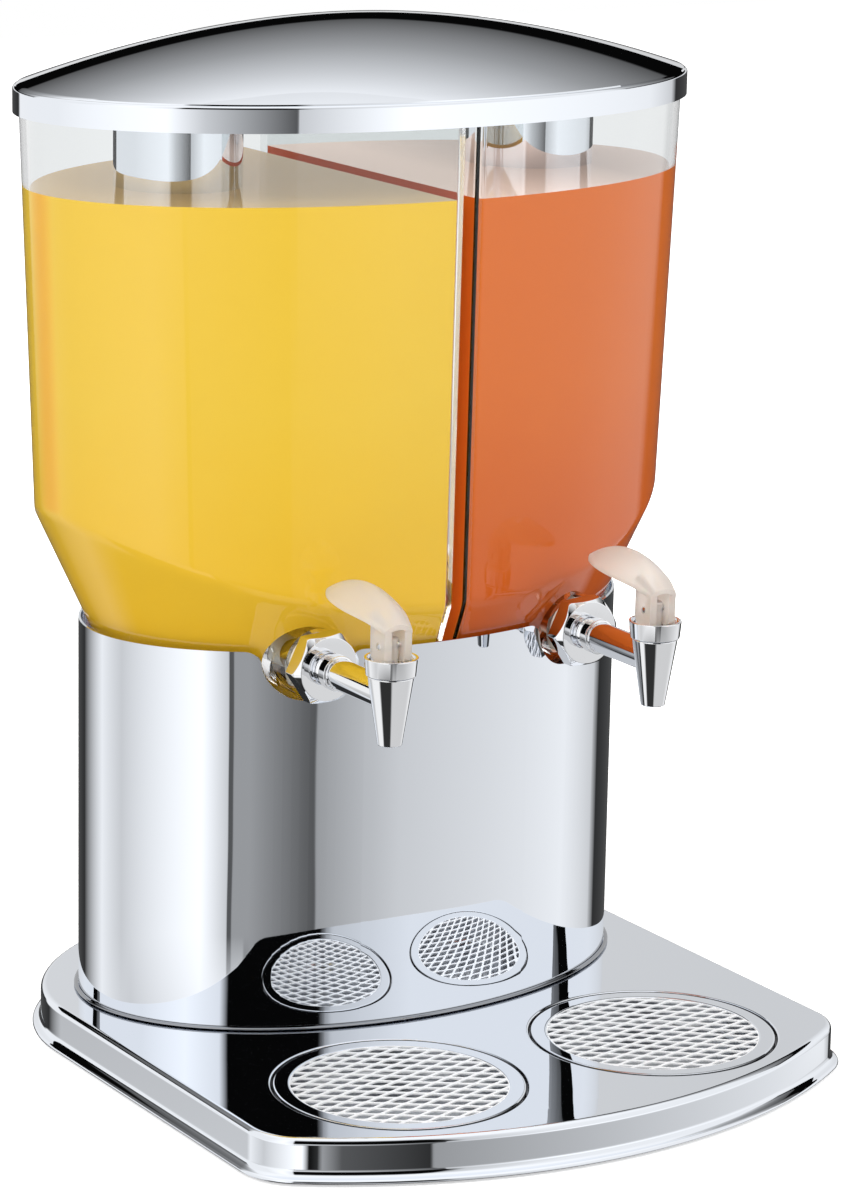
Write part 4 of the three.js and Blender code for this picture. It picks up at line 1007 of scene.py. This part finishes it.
def tap_body(side):
    """Spout tube and cone, cast as one, with the bore, the seat and the outlet cut out."""
    place, valve = tap_place(side), tap_place(side, VALVE_Y)
    valve_y = VALVE_Y - AXIS_Y
    collar = mm_profile([(7.5, -111.5), (8.6, -111.5), (8.6, -106), (5.3, -106), (5.3, -94), (0, -94)])
    spout = rounded([(0, valve_y), (7.5 * MM, valve_y)] + collar, 0.5 * MM)
    casting = add_object("tap_casting_" + side, lathe(spout, place, 64, "y"), CHROME)
    cone = rounded([(0, CONE_FOOT[1]), CONE_FOOT, CONE_TOP, (0, CONE_TOP[1])], 0.6 * MM)
    boolean(casting, add_object("cone", lathe(cone, valve, 96)), "UNION")
    bore = lathe(rod_profile(SPOUT_BORE, valve_y, -91 * MM), place, 48, "y")
    boolean(casting, add_object("bore", bore), "DIFFERENCE")
    slope = (CONE_TOP[0] - CONE_FOOT[0]) / (CONE_TOP[1] - CONE_FOOT[1])
    chamber = [
        (0, CONE_FOOT[1] - REACH),
        (OUTLET_RADIUS, CONE_FOOT[1] - REACH),
        (OUTLET_RADIUS, SEAT_HEIGHT),
        (CHAMBER_RADIUS - (CONE_TOP[1] - SEAT_HEIGHT) * slope, SEAT_HEIGHT),
        (CHAMBER_RADIUS + REACH * slope, CONE_TOP[1] + REACH),
        (0, CONE_TOP[1] + REACH),
    ]
    boolean(casting, add_object("chamber", lathe(chamber, valve, 64)), "DIFFERENCE")
    tidy_mesh(casting, 28)
    dress(casting, "tank_" + side, ["tap_body_" + side])


def tap_bonnet(side):
    profile = mm_profile([
        (3.5, 13.8), (7.1, 13.8), (7.1, 6.5), (8.6, 6.5), (8.6, 10.5),
        (11.9, 10.5), (12.7, 19), (11.3, 19), (11.3, 16.8), (3.5, 16.8),
    ])
    tap_lathe("bonnet", profile, side, "tank_", CHROME, "tap_bonnet", 0.5 * MM, True, 96)


def tap_gaskets(side):
    for name, radius, low in (("inner", FLANGE_RADIUS, -66.2 * MM), ("outer", 15.5 * MM, -92.2 * MM)):
        profile = ring_profile(HOLE_RADIUS, radius, low, low + 2 * MM)
        node = "tap_%s_gasket" % name
        tap_lathe("gasket_" + name, profile, side, "tank_", SILICONE, node, 0.6 * MM)


def tap_stem(side):
    """The rod between the lever's ears, with the eye for the pin, the seat cup at its foot and the pin."""
    rod = rounded(mm_profile([(0, -12), (3.1, -12), (3.1, 27.6), (2.2, 28.4), (0, 28.7)]), 0.4 * MM)
    stem = add_object("stem_" + side, lathe(rod, tap_place(side, VALVE_Y), 48), FROSTED)
    place = tap_place(side, VALVE_Y, PIN_Z)
    eye = lathe(rod_profile(EYE_RADIUS, -6 * MM, 6 * MM), place, 32, "x")
    boolean(stem, add_object("eye", eye), "DIFFERENCE")
    tidy_mesh(stem, 30)
    dress(stem, "stem_" + side, ["tap_stem_" + side])
    cup = [(0, -18), (4.6, -18), (5.4, -12), (5.4, -8.2), (4.2, -7), (3.4, -7), (3.4, -12.3), (0, -12.3)]
    cup = mm_profile(cup)
    tap_lathe("seat", cup, side, "stem_", SILICONE, "tap_seat_cup", 0.4 * MM, True, 48)
    pin = lathe(rounded(rod_profile(PIN_RADIUS, -7 * MM, 7 * MM), 0.3 * MM), place, 32, "x")
    piece("pin_" + side, pin, "stem_" + side, BRUSHED, ["tap_lever_pin_" + side])


def paddle_crest(share):
    """Height of the paddle's middle line, a curve through its front, middle and tip."""
    front, middle, tip = PADDLE_HEIGHTS
    middle *= 4 * share * (1 - share)
    return front * (1 - share) * (1 - 2 * share) + middle + tip * share * (2 * share - 1)


def paddle_half_width(share):
    if share >= 0.5:
        return PADDLE_HALF_WIDTH * math.sqrt(max(1 - (2 * share - 1) ** 2, 0))
    return CHEEK_OUTER + (PADDLE_HALF_WIDTH - CHEEK_OUTER) * math.sin(math.pi * share)


def paddle_point(share, across, drop):
    x = paddle_half_width(share) * across
    arch = PADDLE_ARCH * (x / PADDLE_HALF_WIDTH) ** 2
    return Vector((x, PADDLE_FRONT + PADDLE_LENGTH * share, paddle_crest(share) - arch - drop))


def make_lever(side):
    """An arched paddle, with two cheeks round the stem and the eye for the pin through them."""
    place = tap_place(side, VALVE_Y, PIN_Z)
    rows, columns = 40, 20
    across = [(2 * column / columns - 1) * PADDLE_EDGE_SHARE for column in range(columns + 1)]
    section = [(a, 0) for a in across] + [(1, 0.3), (1, 0.7)]
    section += [(a, 1) for a in reversed(across)] + [(-1, 0.7), (-1, 0.3)]
    rings = []
    for row in range(rows + 1):
        share = min(math.sin(math.pi * row / (2 * rows)), PADDLE_TIP_SHARE)
        rings.append([place + paddle_point(share, a, PADDLE_THICKNESS * depth) for a, depth in section])
    lever = add_object("lever_" + side, skin(rings), FROSTED)
    arch = PADDLE_ARCH * (CHEEK_OUTER / PADDLE_HALF_WIDTH) ** 2
    outline = arc(CHEEK_FRONT + HEEL_RADIUS, CHEEK_FOOT + HEEL_RADIUS, HEEL_RADIUS, 180, 270, 8)
    r = CHEEK_REAR_RADIUS
    outline += arc(CHEEK_REAR - r, CHEEK_FOOT + r, r, 270, 360, 12)
    for i in range(9):
        y = CHEEK_REAR + (CHEEK_FRONT - CHEEK_REAR) * i / 8
        crest = paddle_crest((y - PADDLE_FRONT) / PADDLE_LENGTH)
        outline.append((y, crest - arch - PADDLE_THICKNESS / 2))
    for sign in (-1, 1):
        rings = [[place + Vector((sign * x, y, z)) for y, z in outline] for x in (CHEEK_INNER, CHEEK_OUTER)]
        boolean(lever, add_object("cheek", skin(rings)), "UNION")
    eye = lathe(rod_profile(EYE_RADIUS, -12 * MM, 12 * MM), place, 32, "x")
    boolean(lever, add_object("eye", eye), "DIFFERENCE")
    tidy_mesh(lever, 40)
    dress(lever, "lever_" + side, ["tap_lever_" + side])


for side in SIDES:
    tap_shank(side)
    tap_nut(side)
    tap_body(side)
    tap_bonnet(side)
    tap_gaskets(side)
    tap_stem(side)
    make_lever(side)


# Studio


def srgb(level):
    return (level / 255) ** 2.2


def backdrop(tree, direction):
    """White before and behind the dispenser, greyer to the sides: what the clear walls bend into view."""
    ahead = add_node(tree, "ShaderNodeVectorMath", operation="DOT_PRODUCT")
    tree.links.new(direction, ahead.inputs[0])
    ahead.inputs[1].default_value = (math.sin(CAMERA_AZIMUTH), math.cos(CAMERA_AZIMUTH), 0)
    return map_range(tree, math_node(tree, "ABSOLUTE", ahead.outputs["Value"]), 0.35, 0.88, 0.45, 1)


def make_floor():
    """Pale floor that keeps the shadow near the object and is plain white further out."""
    values = {"Base Color": (0.8, 0.8, 0.8, 1), "Roughness": 0.9, "Specular IOR Level": 0}
    material, tree, shader = new_material("floor", values)
    path = add_node(tree, "ShaderNodeLightPath")
    place = object_place(tree)
    reach = add_node(tree, "ShaderNodeVectorMath", operation="LENGTH")
    tree.links.new(place, reach.inputs[0])
    white = map_range(tree, reach.outputs["Value"], 0.3, 0.75, 0.48, 1)
    unit = add_node(tree, "ShaderNodeVectorMath", operation="NORMALIZE")
    tree.links.new(place, unit.inputs[0])
    glow = emission(tree, math_node(tree, "MULTIPLY", path.outputs["Is Camera Ray"], white))
    total = add_node(tree, "ShaderNodeAddShader")
    feed(tree, total.inputs, (shader.outputs[0], glow.outputs[0]))
    bent = emission(tree, backdrop(tree, unit.outputs[0]))
    mix_shaders(tree, path.outputs["Is Transmission Ray"], total, bent)
    r = FLOOR_HALF_WIDTH
    corners = [Vector((x, y, 0)) for x, y in ((-r, -r), (r, -r), (r, r), (-r, r))]
    floor = add_object("floor", (corners, [[0, 1, 2, 3]]), material)
    floor.visible_glossy = False


# What the steel mirrors: rings of plain panels round the dispenser. Each row lists the panels' edges, in
# degrees to the right of the camera's line of sight, and their levels. Between two edges the light changes
# evenly.
BLACK, DARK, GREY, MIDDLE, PALE, LIGHT, BRIGHT = 15, 50, 85, 150, 200, 235, 260
STUDIO_DEEP = [
    (-180, DARK), (-125, DARK), (-115, LIGHT), (-75, LIGHT), (-40, DARK),
    (40, DARK), (46, PALE), (170, PALE), (180, DARK),
]
STUDIO_LOWEST = [
    (-180, DARK), (-178.6, BLACK), (-177.6, BRIGHT), (-110, PALE), (-75, LIGHT), (-40, DARK), (0, GREY),
    (40, DARK), (45, LIGHT), (100, PALE), (156, MIDDLE), (156.6, DARK), (175, GREY), (179, MIDDLE),
    (180, DARK),
]
STUDIO_LOW = [
    (-180, MIDDLE), (-173, MIDDLE), (-172.6, GREY), (-171.2, GREY), (-170.8, PALE), (-158, BRIGHT),
    (-100, PALE), (-75, LIGHT), (-40, DARK), (0, GREY), (41, DARK), (47, PALE), (70, LIGHT), (130, PALE),
    (155.6, MIDDLE), (156.2, GREY), (180, MIDDLE),
]
STUDIO_SIDE = [
    (-180, PALE), (-166, BRIGHT), (-100, LIGHT), (-44, LIGHT), (-40, DARK), (0, GREY), (38, DARK), (43, PALE),
    (60, LIGHT), (130, BRIGHT), (154, PALE), (154.4, GREY), (180, PALE),
]
STUDIO_HIGH = [
    (-180, BLACK), (-172, BLACK), (-168, LIGHT), (-150, BRIGHT), (-120, LIGHT), (-40, LIGHT), (5, PALE),
    (45, LIGHT), (126, LIGHT), (150, PALE), (154, BLACK), (180, BLACK),
]
# The rows from the lowest up, each with the elevations over which it takes over from what is below it
STUDIO_ROWS = [
    (STUDIO_DEEP, -50, -42), (STUDIO_LOWEST, -27, -24), (STUDIO_LOW, -19.5, -18.4), (STUDIO_SIDE, -14, -9),
    (STUDIO_HIGH, -1, 2),
]
FLOOR_MIRRORED = (0.008, 0.008, 0.009, 1)
OVERHEAD = 250
OVERHEAD_FADE = (45, 65)
WORLD_LEVEL = 0.55
FLOOR_HALF_WIDTH = 4.0
# Soft lamps: degrees to the right of the line of sight and above the horizon, power in watts
LAMPS = [
    ("key_lamp", -150, 35, 34), ("fill_lamp", 110, 30, 22), ("rear_left_lamp", -40, 25, 20),
    ("rear_right_lamp", 45, 25, 14),
]
LAMP_DISTANCE = 2.2
LAMP_SIZE = 1.6
MIDDLE_Z = 0.25
# The screen behind the dispenser, by height in metres
SCREEN = [(0.565, BLACK), (0.717, BLACK), (0.735, GREY), (1.05, MIDDLE), (1.35, PALE), (1.6, LIGHT)]
SCREEN_DISTANCE = 0.7
SCREEN_HALF_WIDTH = 2.5
STEEL_LEVEL = 0.86


def level_ramp(tree, value, stops):
    """Grey by a value, from the place of the first stop to that of the last one."""
    low, high = stops[0][0], stops[-1][0]
    ramp = add_node(tree, "ShaderNodeValToRGB")
    elements = ramp.color_ramp.elements
    while len(elements) < len(stops):
        elements.new(0.5)
    for element, (place, level) in zip(elements, stops):
        element.position = (place - low) / (high - low)
        grey = srgb(level) / 2
        element.color = (grey, grey, grey, 1)
    tree.links.new(map_range(tree, value, low, high, 0, 1), ramp.inputs["Fac"])
    return ramp.outputs["Color"]


def level_at(stops, place):
    for (a, low), (b, high) in zip(stops, stops[1:]):
        if a <= place <= b:
            return low + (high - low) * (place - a) / (b - a)


def level_around(tree, degrees, stops):
    """One studio row. A ramp is only as fine as its 256 steps, so each quarter turn has its own."""
    color = None
    for low in range(-180, 180, 90):
        high = low + 90
        inside = [stop for stop in stops if low < stop[0] < high]
        part = [(low, level_at(stops, low))] + inside + [(high, level_at(stops, high))]
        quarter = level_ramp(tree, degrees, part)
        if color is None:
            color = quarter
        else:
            color = mix_colors(tree, math_node(tree, "GREATER_THAN", degrees, low), color, quarter)
    return color


def make_world():
    """White for the camera, the rows for mirrors, the backdrop through plastic, even grey for the rest."""
    world = bpy.data.worlds.new("studio")
    scene.world = world
    world.use_nodes = True
    tree = world.node_tree
    background = tree.nodes["Background"]
    direction = add_node(tree, "ShaderNodeTexCoord").outputs["Generated"]
    turn = add_node(tree, "ShaderNodeVectorRotate", rotation_type="Z_AXIS")
    turn.inputs["Angle"].default_value = CAMERA_AZIMUTH
    tree.links.new(direction, turn.inputs["Vector"])
    way = split_xyz(tree, turn.outputs[0])
    azimuth = math_node(tree, "ARCTAN2", way["X"], way["Y"])
    degrees = math_node(tree, "MULTIPLY", azimuth, 180 / math.pi)
    elevation = math_node(tree, "MULTIPLY", math_node(tree, "ARCSINE", way["Z"]), 180 / math.pi)
    mirrored = FLOOR_MIRRORED
    for stops, low, high in STUDIO_ROWS:
        row = level_around(tree, degrees, stops)
        mirrored = mix_colors(tree, map_range(tree, elevation, low, high, 0, 1), mirrored, row)
    grey = srgb(OVERHEAD) / 2
    overhead = map_range(tree, elevation, *OVERHEAD_FADE, 0, 1)
    mirrored = mix_colors(tree, overhead, mirrored, (grey, grey, grey, 1))
    double = add_node(tree, "ShaderNodeVectorMath", operation="SCALE")
    double.inputs["Scale"].default_value = 2 / STEEL_LEVEL
    tree.links.new(mirrored, double.inputs[0])
    path = add_node(tree, "ShaderNodeLightPath")
    through = mix_colors(tree, backdrop(tree, direction), (0, 0, 0, 1), (1, 1, 1, 1))
    plain = (WORLD_LEVEL, WORLD_LEVEL, WORLD_LEVEL, 1)
    plain = mix_colors(tree, path.outputs["Is Transmission Ray"], plain, through)
    plain = mix_colors(tree, path.outputs["Is Camera Ray"], plain, (1, 1, 1, 1))
    result = mix_colors(tree, path.outputs["Is Glossy Ray"], plain, double.outputs[0])
    tree.links.new(result, background.inputs["Color"])


def add_lamp(name, azimuth, elevation, power):
    """A soft square lamp, placed by its direction from the object's middle."""
    data = bpy.data.lights.new(name, "AREA")
    data.size = LAMP_SIZE
    data.energy = power
    lamp = bpy.data.objects.new(name, data)
    scene.collection.objects.link(lamp)
    turn = CAMERA_AZIMUTH + math.radians(azimuth)
    rise = math.radians(elevation)
    away = Vector((math.sin(turn) * math.cos(rise), math.cos(turn) * math.cos(rise), math.sin(rise)))
    lamp.location = Vector((0, AXIS_Y, MIDDLE_Z)) + away * LAMP_DISTANCE
    lamp.rotation_euler = away.to_track_quat("Z", "Y").to_euler()
    lamp.visible_glossy = False


def make_screen():
    """A tall shaded screen behind the dispenser that only mirrors see."""
    material, tree, shader = new_material("screen", {})
    tree.nodes.remove(shader)
    shade = level_ramp(tree, split_xyz(tree, object_place(tree))["Z"], SCREEN)
    glow = emission(tree, 2 / STEEL_LEVEL, shade)
    tree.links.new(glow.outputs[0], tree.nodes["Material Output"].inputs["Surface"])
    away = Vector((math.sin(CAMERA_AZIMUTH), math.cos(CAMERA_AZIMUTH), 0))
    across = Vector((away.y, -away.x, 0)) * SCREEN_HALF_WIDTH
    middle = Vector((0, AXIS_Y, 0)) + away * SCREEN_DISTANCE
    low, high = SCREEN[0][0], SCREEN[-1][0]
    places = ((-1, low), (1, low), (1, high), (-1, high))
    corners = [middle + across * side + Vector((0, 0, z)) for side, z in places]
    screen = add_object("screen", (corners, [[0, 1, 2, 3]]), material)
    screen.visible_camera = False
    screen.visible_diffuse = False
    screen.visible_shadow = False
    screen.visible_transmission = False


def make_camera():
    data = bpy.data.cameras.new("camera")
    data.sensor_width = 36
    data.lens = FOCAL_PIXELS / FRAME_HEIGHT * data.sensor_width
    data.clip_end = 100
    camera = bpy.data.objects.new("camera", data)
    scene.collection.objects.link(camera)
    turn = Matrix.Rotation(-CAMERA_AZIMUTH, 4, "Z")
    tilt = Matrix.Rotation(math.pi / 2 - CAMERA_PITCH, 4, "X")
    roll = Matrix.Rotation(CAMERA_ROLL, 4, "Z")
    camera.matrix_world = Matrix.Translation(CAMERA_PLACE) @ turn @ tilt @ roll
    scene.camera = camera


make_floor()
make_world()
for name, azimuth, elevation, power in LAMPS:
    add_lamp(name, azimuth, elevation, power)
make_screen()
make_camera()
scene.view_settings.view_transform = "Standard"
scene.cycles.transparent_max_bounces = 16
scene.cycles.transmission_bounces = 24
scene.cycles.glossy_bounces = 40
scene.cycles.max_bounces = 48
